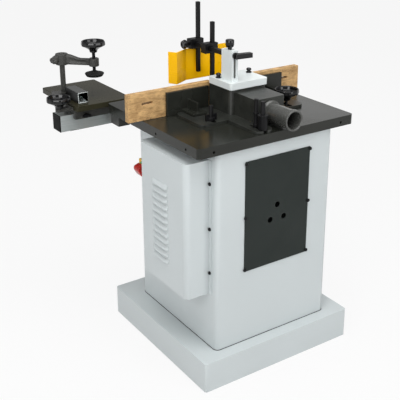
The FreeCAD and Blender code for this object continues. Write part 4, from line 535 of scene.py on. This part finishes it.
def fillet(points, radius, closed=False):
    """A line with rounded corners: at a corner p the curve (1-t)^2 a + 2t(1-t) p + t^2 b joins the points
    a and b that lie a radius before and after it, or half a run where the run is short."""
    line = np.asarray(points, dtype=float)
    before, after = np.roll(line, 1, axis=0) - line, np.roll(line, -1, axis=0) - line
    back, ahead = np.linalg.norm(before, axis=1), np.linalg.norm(after, axis=1)
    reach = np.minimum(radius, 0.5 * np.minimum(back, ahead))[:, None]
    a, b = line + before / back[:, None] * reach, line + after / ahead[:, None] * reach
    t = np.linspace(0.0, 1.0, FILLET_STEPS)[None, :, None]
    curve = (1.0 - t) ** 2 * a[:, None] + 2.0 * t * (1.0 - t) * line[:, None] + t ** 2 * b[:, None]
    if closed:
        loop = curve.reshape(-1, 2)
        return np.concatenate([loop, loop[:1]])
    return np.concatenate([line[:1], curve[1:-1].reshape(-1, 2), line[-1:]])


def lathe(profile, centre, axis="Z", lobes=0, depth=0.0, steps=72):
    """A profile of radius r and height h turned about an axis: (r cos u, r sin u, h). Lobes draw the radius
    in by depth (1 - cos(lobes u)) / 2, most where r is largest."""
    r, h = profile[:, :1], profile[:, 1:]
    u = np.linspace(0.0, FULL_TURN, steps + 1)[None, :]
    drawn = r * (1.0 - depth * 0.5 * (1.0 - np.cos(lobes * u)) * (r / r.max()) ** LOBE_POWER)
    local = np.stack([drawn * np.cos(u), drawn * np.sin(u), h + 0.0 * u], axis=-1)
    return local @ TURNS[axis].T + np.asarray(centre)


def thread(sizes, radius, low, high, centre):
    """An upright bar with a helical thread: r(u, h) = radius - depth (1 - cos(2 pi h / pitch - u)) / 2,
    closed by a flat end below and above."""
    depth, pitch = sizes.thread_depth / MM, sizes.thread_pitch / MM
    rows = int(THREAD_ROWS * (high - low) / pitch)
    u = np.linspace(0.0, FULL_TURN, THREAD_SIDES + 1)[None, :]
    h = np.concatenate([[low], np.linspace(low, high, rows), [high]])[:, None]
    inside = np.concatenate([[0.0], np.ones(rows), [0.0]])[:, None]
    r = inside * (radius - depth * 0.5 * (1.0 - np.cos(FULL_TURN * h / pitch - u)))
    return np.stack([centre[0] + r * np.cos(u), centre[1] + r * np.sin(u), h + 0.0 * u], axis=-1)


def soft_slab(outline, low, high, edge):
    """A closed outline carried up from low to high. At a rim the outline is drawn in by edge (1 - cos t)
    while the height moves by edge (1 - sin t); both ends close on the outline's middle."""
    t = np.linspace(QUARTER_TURN, 0.0, RIM_STEPS)
    inset, rise = edge * (1.0 - np.cos(t)), edge * (1.0 - np.sin(t))
    inset = np.concatenate([inset, inset[::-1]])
    level = np.concatenate([low + rise, high - rise[::-1]])
    middle = outline[:-1].mean(axis=0)
    shrink = 1.0 - inset[:, None] / np.abs(outline - middle).max(axis=0)
    rings = middle + (outline - middle)[None] * shrink[:, None, :]
    rings = np.concatenate([0.0 * rings[:1] + middle, rings, 0.0 * rings[:1] + middle])
    level = np.concatenate([[low], level, [high]])[:, None] + 0.0 * rings[:, :, 0]
    return np.concatenate([rings, level[:, :, None]], axis=-1)


def carry_round(centres, radii, arcs, section, level):
    """A section (a, b) carried round arcs and the straight runs between them: the point at angle t of an arc
    is centre + (radius + a)(cos t, sin t), at height level + b, and the last arc joins the first."""
    steps = arcs.shape[1]
    angle = np.concatenate([arcs.ravel(), arcs[0, :1]])
    centre = np.concatenate([np.repeat(centres, steps, axis=0), centres[:1]])
    radius = np.concatenate([np.repeat(radii, steps), radii[:1]])
    out = np.stack([np.cos(angle), np.sin(angle)], axis=-1)
    flat = centre[:, None, :] + out[:, None, :] * (radius[:, None, None] + section[None, :, :1])
    height = level + section[None, :, 1:] + 0.0 * flat[:, :, :1]
    return np.concatenate([flat, height], axis=-1)


def add_piece(name, grids, slot, body, stands_for=()):
    """One object from its grids: neighbours in a grid share a face, and seams and poles are welded."""
    points, faces, first = [], [], 0
    for grid in grids:
        rows, columns = grid.shape[:2]
        corner = first + np.arange(rows * columns).reshape(rows, columns)
        quads = np.stack([corner[:-1, :-1], corner[1:, :-1], corner[1:, 1:], corner[:-1, 1:]], axis=-1)
        faces.append(quads.reshape(-1, 4))
        points.append(grid.reshape(-1, 3) * MM)
        first += rows * columns
    mesh = bpy.data.meshes.new(name)
    mesh.from_pydata(np.concatenate(points).tolist(), [], np.concatenate(faces).tolist())
    work = bmesh.new()
    work.from_mesh(mesh)
    bmesh.ops.remove_doubles(work, verts=work.verts, dist=SEAM_WELD)
    bmesh.ops.recalc_face_normals(work, faces=work.faces)
    work.to_mesh(mesh)
    work.free()
    mesh.shade_smooth()
    mesh.set_sharp_from_angle(angle=math.radians(CREASE_ANGLE))
    mesh.materials.append(FINISHES[slot])
    piece = bpy.data.objects.new(name, mesh)
    bpy.context.scene.collection.objects.link(piece)
    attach(piece, body)
    if stands_for:
        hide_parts(*stands_for)
    return piece


# Profile of a dished wheel, as shares of its radius and height: hub, cone, round rim, hollow face, low cap
WHEEL_PROFILE = np.array([
    (0.0, 0.0), (0.30, 0.0), (0.33, 0.20), (0.46, 0.32), (0.84, 0.56), (0.96, 0.60), (1.0, 0.68),
    (0.99, 0.84), (0.955, 0.97), (0.91, 1.0), (0.85, 0.94), (0.78, 0.66), (0.34, 0.60), (0.26, 0.68),
    (0.0, 0.70)])
# Rounding of the wheel as a share of its radius, and how far the stud goes in as a share of its height
WHEEL_ROUND, STUD_SHARE = 0.08, 0.2
# Least length of a stud that is shown, in millimetres
STUD_LENGTH = 1.0
# The node of each wheel and the body that it rides on
WHEELS = {"carrier_wheel": "carrier_wheel", "fence_lock_wheel": "fence_lock", "clamp_wheel": "clamp_screw"}


class MOULDER_OT_wheels(bpy.types.Operator):
    """Build the three dished hand wheels with their threaded studs"""
    bl_idname = "moulder.wheels"
    bl_label = "Hand wheels"

    def execute(self, context):
        sizes = context.scene.moulder_shapes
        height = sizes.wheel_height / MM
        for node, body in WHEELS.items():
            low, high = node_box(node)
            centre = (low + high) / 2.0
            radius, foot = (high[0] - low[0]) / 2.0, high[2] - height
            profile = fillet(WHEEL_PROFILE * (radius, height), WHEEL_ROUND * radius)
            grids = [lathe(profile, (centre[0], centre[1], foot), lobes=sizes.wheel_lobes,
                           depth=sizes.lobe_depth, steps=120)]
            if foot - low[2] > STUD_LENGTH:
                stud_top = foot + STUD_SHARE * height
                grids.append(thread(sizes, sizes.stud_radius / MM, low[2], stud_top, centre))
            add_piece(node + "_dished", grids, "black_gloss", body, (node,))
        return {"FINISHED"}


# Clamp: bosses on the post and the screw, in millimetres
BOSS_HEIGHT, NOSE_HEIGHT = 44.0, 32.0
BOSS_RADIUS, NOSE_RADIUS = 25.0, 20.0
POST_RADIUS, SCREW_RADIUS = 10.55, 7.05
BOSS_ROUND, SCREW_GAP = 3.5, 0.3
# Web between the bosses: its inset from their ends, its tip's lift, and its half width at post and tip
WEB_INSET, TIP_LIFT = 2.0, 3.0
POST_HALF, TIP_HALF = 13.0, 10.0
WEB_STEPS, WEB_SIDES = 48, 64
# Web as shares of its length: where its top falls and where its groove starts and ends
TOP_FALL, GROOVE_START, GROOVE_END = (0.16, 0.62), (0.18, 0.34), (0.74, 0.88)
# Squareness of the web's oval, and the groove's half height as a share of the web's
OVAL_POWER, GROOVE_HALF = 0.4, 0.5
# Ears of the split boss: an outline of distance from the post and height above the boss's foot
EAR_OUTLINE = [(-7.5, 40.0), (25.5, 38.0), (46.0, 24.0), (44.0, 8.0), (-7.5, 6.0)]
EAR_GAP, EAR_THICKNESS, EAR_ROUND, EAR_EDGE = 1.5, 11.0, 7.0, 2.0
# Bolt through the ears: radius and length of its head, shank and nut, and its place from the post
BOLT_PROFILE = [(0.0, 0.0), (8.5, 0.0), (8.5, 5.0), (5.0, 7.0), (5.0, 36.0), (8.5, 36.5), (8.5, 42.0),
                (4.0, 44.0), (0.0, 44.0)]
BOLT_ROUND, BOLT_OUT, BOLT_START, BOLT_LIFT = 1.0, 34.0, 22.0, 18.0
# Profile of the pad as shares of its radius and height
PAD_PROFILE = np.array([(0.0, 0.03), (0.62, 0.03), (0.66, 0.0), (0.84, 0.0), (1.0, 0.5), (0.97, 0.60),
                        (0.55, 0.66), (0.36, 0.80), (0.34, 1.0), (0.0, 1.0)])
PAD_ROUND = 1.6


def arm_web(post, nose, boss, tip, groove):
    """The web between the bosses. Along s the upper edge falls by a smooth step and the lower edge is
    straight. Across, angle t gives a squared-off oval, sign(c)|c|^0.4 by sign(d)|d|^0.4 for c = cos t and
    d = sin t, drawn in at half height by groove exp(-(d' / 0.5)^4) for the oval's height d'."""
    s = np.linspace(0.0, 1.0, WEB_STEPS + 1)[:, None]
    t = np.linspace(0.0, FULL_TURN, WEB_SIDES + 1)[None, :]
    run = nose[:2] - post[:2]
    across = np.array([-run[1], run[0]]) / np.linalg.norm(run)
    fall = smooth_step(s, *TOP_FALL)
    top = (boss[1] - WEB_INSET) * (1.0 - fall) + (tip[1] - WEB_INSET) * fall
    low = (boss[0] + WEB_INSET) * (1.0 - s) + (tip[0] + TIP_LIFT) * s
    half = POST_HALF * (1.0 - s) + TIP_HALF * s
    wide = np.sign(np.cos(t)) * np.abs(np.cos(t)) ** OVAL_POWER
    tall = np.sign(np.sin(t)) * np.abs(np.sin(t)) ** OVAL_POWER
    window = smooth_step(s, *GROOVE_START) * (1.0 - smooth_step(s, *GROOVE_END))
    drawn = 1.0 - groove * window * np.exp(-(tall / GROOVE_HALF) ** 4)
    closed = np.ones_like(s)
    closed[[0, -1]] = 0.0
    offset = half * wide * drawn * closed
    x = post[0] + run[0] * s + across[0] * offset
    y = post[1] + run[1] * s + across[1] * offset
    z = (top + low) / 2.0 + (top - low) / 2.0 * tall * closed
    return np.stack([x, y, z], axis=-1)


def clamp_ear(post, side, foot):
    """One ear of the split post boss: a rounded plate that reaches outwards and droops towards its end."""
    outline = fillet(EAR_OUTLINE, EAR_ROUND, closed=True)
    slab = soft_slab(outline, EAR_GAP, EAR_GAP + EAR_THICKNESS, EAR_EDGE)
    return np.stack([post[0] - slab[:, :, 0], post[1] + side * slab[:, :, 2], foot + slab[:, :, 1]], axis=-1)


class MOULDER_OT_clamp(bpy.types.Operator):
    """Build the clamp's curved arm, its screw and the pad below it"""
    bl_idname = "moulder.clamp"
    bl_label = "Clamp"

    def execute(self, context):
        sizes = context.scene.moulder_shapes
        low, high = node_box("clamp_arm")
        post, nose = middle_of("clamp_post"), middle_of("clamp_screw")
        boss_foot, nose_top = high[2] - BOSS_HEIGHT, low[2] + NOSE_HEIGHT
        grids = [arm_web(post, nose, (boss_foot, high[2]), (low[2], nose_top), sizes.arm_groove)]
        for centre, inner, outer, foot, top in ((post, POST_RADIUS, BOSS_RADIUS, boss_foot, high[2]),
                                                (nose, SCREW_RADIUS, NOSE_RADIUS, low[2], nose_top)):
            sleeve = fillet([(inner, 0.0), (outer, 0.0), (outer, top - foot), (inner, top - foot)],
                            BOSS_ROUND, closed=True)
            grids.append(lathe(sleeve, (centre[0], centre[1], foot)))
        for side in (-1.0, 1.0):
            grids.append(clamp_ear(post, side, boss_foot))
        bolt_place = (post[0] - BOLT_OUT, post[1] + BOLT_START, boss_foot + BOLT_LIFT)
        grids.append(lathe(fillet(BOLT_PROFILE, BOLT_ROUND), bolt_place, "-Y", steps=36))
        add_piece("clamp_arm_curved", grids, "grey_iron", "clamp_arm", ("clamp_arm",))

        screw_low, screw_high = node_box("clamp_screw")
        screw = thread(sizes, SCREW_RADIUS - SCREW_GAP, screw_low[2], screw_high[2], nose)
        add_piece("clamp_screw_threaded", [screw], "dark_steel", "clamp_screw", ("clamp_screw",))

        pad_low, pad_high = node_box("clamp_pad")
        radius, height = (pad_high[0] - pad_low[0]) / 2.0, pad_high[2] - pad_low[2]
        pad = lathe(fillet(PAD_PROFILE * (radius, height), PAD_ROUND), (nose[0], nose[1], pad_low[2]))
        add_piece("clamp_pad_moulded", [pad], "black_rubber", "clamp_pad", ("clamp_pad",))
        return {"FINISHED"}


# Louvres: a hood's distance from the sheet and its thickness in millimetres, and the powers of its swell
HOOD_LIFT, HOOD_THICKNESS = 0.2, 1.2
HOOD_ENDS, HOOD_CURVE = 6, 1.3
HOOD_STEPS, HOOD_ROWS = 32, 12


class MOULDER_OT_louvres(bpy.types.Operator):
    """Press a hood over each slot of the motor cover"""
    bl_idname = "moulder.louvres"
    bl_label = "Louvres"

    def execute(self, context):
        """Across a hood u runs from -1 to 1 and down it v from 0 to 1; it swells by
        depth (1 - u^6) sin(pi v / 2)^1.3."""
        sizes = context.scene.moulder_shapes
        low = node_box("motor_cover")[0]
        u = np.linspace(-1.0, 1.0, HOOD_STEPS + 1)[None, :]
        v = np.linspace(0.0, 1.0, HOOD_ROWS + 1)[:, None]
        swell = sizes.louvre_depth / MM * (1.0 - u ** HOOD_ENDS) * np.sin(QUARTER_TURN * v) ** HOOD_CURVE
        y = sizes.louvre_y / MM + 0.5 * sizes.louvre_length / MM * u + 0.0 * v
        hoods = []
        for i in range(sizes.louvre_count):
            lip = low[2] + (sizes.louvre_first + i * sizes.louvre_pitch) / MM
            z = lip + sizes.louvre_height / MM * (1.0 - v) + 0.0 * u
            hoods.append(np.stack([low[0] - HOOD_LIFT - swell, y, z], axis=-1))
        piece = add_piece("cover_louvres", hoods, "white_paint", "frame")
        sheet = piece.modifiers.new("sheet", "SOLIDIFY")
        sheet.thickness = HOOD_THICKNESS * MM
        sheet.offset = 0.0
        return {"FINISHED"}


# Spout, in millimetres: its bore, its duct inside the hood and the flange after that
SPOUT_BORE, DUCT_REACH, DUCT_INSET = 30.0, 127.3, 1.0
FLANGE_LIP, FLANGE_LENGTH = 4.5, 7.0
# Neck: its insets at both ends, its start behind the hood and its end before the mouth
NECK_INSETS, NECK_START, NECK_END = (2.5, 3.0), 9.0, 17.0
# Rolled rim at the mouth: its length, and the flare and depth of the bore's edge
RIM_LENGTH, MOUTH_FLARE, MOUTH_DEPTH = 14.0, 2.0, 5.0
SPOUT_ROUND = 2.0


class MOULDER_OT_spout(bpy.types.Operator):
    """Build the dust spout with its flange and its rolled rim"""
    bl_idname = "moulder.spout"
    bl_label = "Dust spout"

    def execute(self, context):
        low, high = node_box("dust_port")
        centre = (low + high) / 2.0
        outer, reach = (high[0] - low[0]) / 2.0, high[1] - low[1]
        duct, flange = outer - DUCT_INSET, outer + FLANGE_LIP
        wall = fillet([(SPOUT_BORE, 0.0), (duct, 0.0), (duct, DUCT_REACH), (flange, DUCT_REACH),
                       (flange, DUCT_REACH + FLANGE_LENGTH),
                       (outer - NECK_INSETS[0], DUCT_REACH + NECK_START),
                       (outer - NECK_INSETS[1], reach - NECK_END),
                       (outer, reach - RIM_LENGTH), (outer, reach),
                       (SPOUT_BORE + MOUTH_FLARE, reach), (SPOUT_BORE, reach - MOUTH_DEPTH)],
                      SPOUT_ROUND, closed=True)
        spout = lathe(wall, (centre[0], high[1], centre[2]), "-Y", steps=96)
        add_piece("dust_spout_cast", [spout], "spout_grey", "fence", ("dust_port",))
        return {"FINISHED"}


# Stop flap: radius of its hinge barrel in millimetres, then its face as shares of its depth and height
HINGE_RADIUS, HINGE_STEPS = 3.25, 6
FLAP_FACE = np.array([(0.30, 0.96), (0.86, 0.86), (1.0, 0.70), (0.95, 0.52), (0.42, 0.04), (0.0, 0.0)])
FLAP_ROUND, FLAP_EDGE = 4.0, 4.0


class MOULDER_OT_switch(bpy.types.Operator):
    """Build the wedge-shaped stop flap of the switch"""
    bl_idname = "moulder.switch"
    bl_label = "Stop flap"

    def execute(self, context):
        low, high = node_box("stop_paddle")
        angle = np.linspace(0.0, QUARTER_TURN, HINGE_STEPS)
        barrel = HINGE_RADIUS * (np.stack([np.cos(angle), np.sin(angle)], axis=-1) - 1.0) + high[[0, 2]]
        depth, height = high[0] - low[0], high[2] - low[2]
        face = np.stack([high[0] - FLAP_FACE[:, 0] * depth, low[2] + FLAP_FACE[:, 1] * height], axis=-1)
        outline = fillet(np.concatenate([barrel, face]), FLAP_ROUND, closed=True)
        slab = soft_slab(outline, low[1], high[1], FLAP_EDGE)
        flap = np.stack([slab[:, :, 0], slab[:, :, 2], slab[:, :, 1]], axis=-1)
        add_piece("stop_flap", [flap], "stop_red", "stop_paddle", ("stop_paddle",))
        return {"FINISHED"}


# Star knob: radius of its neck in millimetres, the neck's length and the face as shares of the knob's sizes
NECK_RADIUS, NECK_SHARE, NECK_ROUND = 6.0, 0.45, 0.8
STAR_PROFILE = [(0.0, 0.30), (0.55, 0.32), (0.85, 0.40), (1.0, 0.55), (1.0, 0.80), (0.80, 1.0), (0.45, 0.97),
                (0.0, 0.93)]
STAR_ROUND, STAR_LOBES, STAR_DEPTH = 0.1, 6, 0.24
# Lid knobs: radius in millimetres, and the profile as shares of radius and height
LID_KNOB_RADIUS, LID_KNOB_ROUND = 11.0, 1.2
LID_KNOB_PROFILE = np.array([(0.0, 0.0), (1.0, 0.0), (1.0, 0.18), (0.62, 0.30), (0.60, 0.42), (0.86, 0.55),
                             (0.90, 0.80), (0.62, 1.0), (0.0, 1.0)])


class MOULDER_OT_knobs(bpy.types.Operator):
    """Build the lobed knob of the far clamp block and the two knobs on the lid"""
    bl_idname = "moulder.knobs"
    bl_label = "Knobs"

    def execute(self, context):
        low, high = node_box("star_knob")
        centre, radius, reach = (low + high) / 2.0, (high[1] - low[1]) / 2.0, high[0] - low[0]
        place = (high[0], centre[1], centre[2])
        neck_end = NECK_SHARE * reach
        neck = fillet([(0.0, 0.0), (NECK_RADIUS, 0.0), (NECK_RADIUS, neck_end), (0.0, neck_end)], NECK_ROUND)
        face = fillet(STAR_PROFILE, STAR_ROUND) * (radius, reach)
        grids = [lathe(neck, place, "-X", steps=36),
                 lathe(face, place, "-X", lobes=STAR_LOBES, depth=STAR_DEPTH, steps=96)]
        add_piece("star_knob_lobed", grids, "black_gloss", "star_knob", ("star_knob",))

        low, high = node_box("lid_knobs")
        profile = fillet(LID_KNOB_PROFILE * (LID_KNOB_RADIUS, high[2] - low[2]), LID_KNOB_ROUND)
        knobs = []
        for x in (low[0] + LID_KNOB_RADIUS, high[0] - LID_KNOB_RADIUS):
            knobs.append(lathe(profile, (x, (low[1] + high[1]) / 2.0, low[2]), steps=60))
        add_piece("lid_knobs_moulded", knobs, "black_gloss", "fence", ("lid_knobs",))
        return {"FINISHED"}


# Belt, in millimetres: the pulleys' lips, its gap to them, its back and its ribs
PULLEY_LIP, BELT_GAP, BELT_BACK, RIB_DEPTH = 2.5, 0.3, 5.2, 1.6
BELT_RIBS, BELT_STEPS = 7, 160


class MOULDER_OT_belt(bpy.types.Operator):
    """Build the ribbed drive belt round the two pulleys"""
    bl_idname = "moulder.belt"
    bl_label = "Drive belt"

    def execute(self, context):
        """The belt follows an arc on each pulley and the two runs that touch both; ribs stand inside it."""
        low, high = node_box("drive_belt")
        pulleys = ("motor_pulley", "spindle_pulley")
        centres = np.array([middle_of(node)[:2] for node in pulleys])
        radii = np.array([np.ptp(node_box(node), axis=0)[0] / 2.0 - PULLEY_LIP for node in pulleys])
        run = centres[1] - centres[0]
        heading = math.atan2(run[1], run[0])
        lean = math.acos((radii[0] - radii[1]) / np.linalg.norm(run))
        arcs = heading + np.stack([np.linspace(lean, FULL_TURN - lean, BELT_STEPS),
                                   np.linspace(-lean, lean, BELT_STEPS)])
        width = high[2] - low[2]
        inner = np.stack([BELT_GAP + RIB_DEPTH * (np.arange(2 * BELT_RIBS + 1) % 2),
                          np.linspace(width, 0.0, 2 * BELT_RIBS + 1)], axis=-1)
        outer = np.array([(BELT_BACK, 0.0), (BELT_BACK, width)])
        section = np.concatenate([inner, outer, inner[:1]])
        belt = carry_round(centres, radii, arcs, section, low[2])
        add_piece("drive_belt_ribbed", [belt], "black_rubber", "rise", ("drive_belt",))
        return {"FINISHED"}


# Foot seam, painted shade: a dark bead in place of the shadow of the gap between cabinet and plinth. In
# millimetres: the cabinet's corner and the bead's size and height above the cabinet's foot
CABINET_CORNER, SHADE_BEAD_SIZE, SHADE_BEAD_LIFT = 18.0, 1.6, 0.3
# Section of the bead as shares of its size
BEAD_SECTION = [(-0.5, 0.0), (1.0, 0.0), (1.0, 1.0), (-0.5, 1.0)]
BEAD_ROUND, CORNER_STEPS = 0.5, 12


class MOULDER_OT_gap_shade(bpy.types.Operator):
    """Lay a dark bead round the cabinet's foot, painted shade for the shadow of the gap to the plinth"""
    bl_idname = "moulder.seam"
    bl_label = "Foot seam"

    def execute(self, context):
        low, high = node_box("cabinet")
        corner_arc = np.linspace(0.0, QUARTER_TURN, CORNER_STEPS)
        arcs = corner_arc[None, :] + QUARTER_TURN * np.arange(4)[:, None]
        inner_low, inner_high = low[:2] + CABINET_CORNER, high[:2] - CABINET_CORNER
        corners = np.array([inner_high, (inner_low[0], inner_high[1]), inner_low,
                            (inner_high[0], inner_low[1])])
        bead = SHADE_BEAD_SIZE * fillet(BEAD_SECTION, BEAD_ROUND, closed=True)
        seam = carry_round(corners, np.full(4, CABINET_CORNER), arcs, bead, low[2] + SHADE_BEAD_LIFT)
        add_piece("gap_shade_bead", [seam], "black_rubber", "frame")
        return {"FINISHED"}


# Stage: the lamps' places and sizes and the point they look at, in metres
LAMPS = {
    "overhead": ((-0.4, -0.7, 3.6), 2.6),
    "left_box": ((-3.0, -2.0, 2.2), 1.8),
    "right_box": ((1.4, -3.6, 1.9), 1.8),
    "far_box": ((3.2, 2.8, 2.4), 1.6),
}
LAMP_TARGET = (0.0, 0.0, 0.6)
# Camera sensor in millimetres, the floor's half side in metres and its share of white as background
SENSOR_WIDTH, FLOOR_REACH, FLOOR_GLOW = 36.0, 30.0, 0.88
# Grey of the surrounding light by height, from the horizon to straight above
SKY_STOPS = ((0.0, 0.75), (0.08, 0.70), (0.20, 0.36), (0.55, 0.42), (1.0, 0.72))


def softbox(scene, name, power):
    """A square lamp of even light that looks at the object."""
    place, size = LAMPS[name]
    lamp = bpy.data.lights.new(name, "AREA")
    lamp.shape = "SQUARE"
    lamp.size = size
    lamp.energy = power
    holder = bpy.data.objects.new(name, lamp)
    holder.location = place
    holder.rotation_euler = (Vector(LAMP_TARGET) - Vector(place)).to_track_quat("-Z", "Y").to_euler()
    scene.collection.objects.link(holder)


def pale_floor(colour):
    """A floor that keeps the shadow, lifted towards white where it is seen as background."""
    finish = Finish("studio_floor", colour, 0.9, specular=0.1)
    rays = finish.node("ShaderNodeLightPath")
    seen = finish.maths("MAXIMUM", rays.outputs["Is Camera Ray"], rays.outputs["Is Glossy Ray"])
    seen = finish.maths("MAXIMUM", seen, rays.outputs["Is Transmission Ray"])
    glow = finish.node("ShaderNodeEmission")
    mix = finish.node("ShaderNodeMixShader")
    finish.link(finish.maths("MULTIPLY", seen, FLOOR_GLOW), mix.inputs[0])
    finish.link(finish.shader.outputs[0], mix.inputs[1])
    finish.link(glow.outputs[0], mix.inputs[2])
    finish.link(mix.outputs[0], finish.tree.nodes["Material Output"].inputs["Surface"])
    return finish.material


def set_camera(scene, stage):
    """The camera at its place, turned by yaw, pitch and roll."""
    data = bpy.data.cameras.new("camera")
    data.sensor_width = SENSOR_WIDTH
    data.lens = stage.lens
    data.shift_y = stage.shift
    camera = bpy.data.objects.new("camera", data)
    camera.location = stage.camera_place
    camera.rotation_euler = (Matrix.Rotation(-stage.camera_yaw, 3, "Z")
                             @ Matrix.Rotation(QUARTER_TURN - stage.camera_pitch, 3, "X")
                             @ Matrix.Rotation(-stage.camera_roll, 3, "Z")).to_euler()
    scene.collection.objects.link(camera)
    scene.camera = camera


def lay_floor(scene, colour):
    """A wide square floor under the object."""
    corners = [(x * FLOOR_REACH, y * FLOOR_REACH, 0.0) for x, y in ((-1, -1), (1, -1), (1, 1), (-1, 1))]
    mesh = bpy.data.meshes.new("floor")
    mesh.from_pydata(corners, [], [(0, 1, 2, 3)])
    floor = bpy.data.objects.new("floor", mesh)
    floor.data.materials.append(pale_floor(colour))
    scene.collection.objects.link(floor)


def set_sky(scene):
    """Soft grey light from all round, by the height of its direction."""
    world = bpy.data.worlds.new("studio")
    world.use_nodes = True
    scene.world = world
    tree = world.node_tree
    where = tree.nodes.new("ShaderNodeTexCoord")
    split = tree.nodes.new("ShaderNodeSeparateXYZ")
    ramp = tree.nodes.new("ShaderNodeValToRGB")
    elements = ramp.color_ramp.elements
    while len(elements) < len(SKY_STOPS):
        elements.new(0.5)
    for element, (position, grey) in zip(elements, SKY_STOPS):
        element.position = position
        element.color = (grey, grey, grey, 1.0)
    tree.links.new(where.outputs["Generated"], split.inputs[0])
    tree.links.new(split.outputs["Z"], ramp.inputs[0])
    tree.links.new(ramp.outputs["Color"], tree.nodes["Background"].inputs["Color"])


class MOULDER_OT_stage(bpy.types.Operator):
    """Set the camera, the lamps, the pale floor and the soft surrounding light"""
    bl_idname = "moulder.stage"
    bl_label = "Stage"

    def execute(self, context):
        scene, stage = context.scene, context.scene.moulder_stage
        scene.view_settings.view_transform = "Standard"
        set_camera(scene, stage)
        lay_floor(scene, stage.floor_colour)
        set_sky(scene)
        powers = (stage.overhead_power, stage.left_power, stage.right_power, stage.far_power)
        for name, power in zip(LAMPS, powers):
            softbox(scene, name, power)
        return {"FINISHED"}


class MOULDER_PT_panel(bpy.types.Panel):
    """Lists the steps that dress the spindle moulder"""
    bl_idname = "MOULDER_PT_panel"
    bl_label = "Spindle Moulder"
    bl_space_type = "VIEW_3D"
    bl_region_type = "UI"
    bl_category = "Moulder"

    def draw(self, context):
        for operator in OPERATORS:
            self.layout.operator(operator.bl_idname)


OPERATORS = (MOULDER_OT_finishes, MOULDER_OT_wheels, MOULDER_OT_clamp, MOULDER_OT_louvres, MOULDER_OT_spout,
             MOULDER_OT_switch, MOULDER_OT_knobs, MOULDER_OT_belt, MOULDER_OT_gap_shade, MOULDER_OT_stage)
GROUPS = {"moulder_finishes": MoulderFinishes, "moulder_shapes": MoulderShapes,
          "moulder_stage": MoulderStage}


def register():
    for made in (*GROUPS.values(), *OPERATORS, MOULDER_PT_panel):
        bpy.utils.register_class(made)
    for name, group in GROUPS.items():
        setattr(bpy.types.Scene, name, PointerProperty(type=group))


def unregister():
    for name in GROUPS:
        delattr(bpy.types.Scene, name)
    for made in reversed((*GROUPS.values(), *OPERATORS, MOULDER_PT_panel)):
        bpy.utils.unregister_class(made)


def main():
    register()
    for operator in OPERATORS:
        getattr(bpy.ops.moulder, operator.bl_idname.split(".")[1])()


if __name__ == "__main__":
    main()
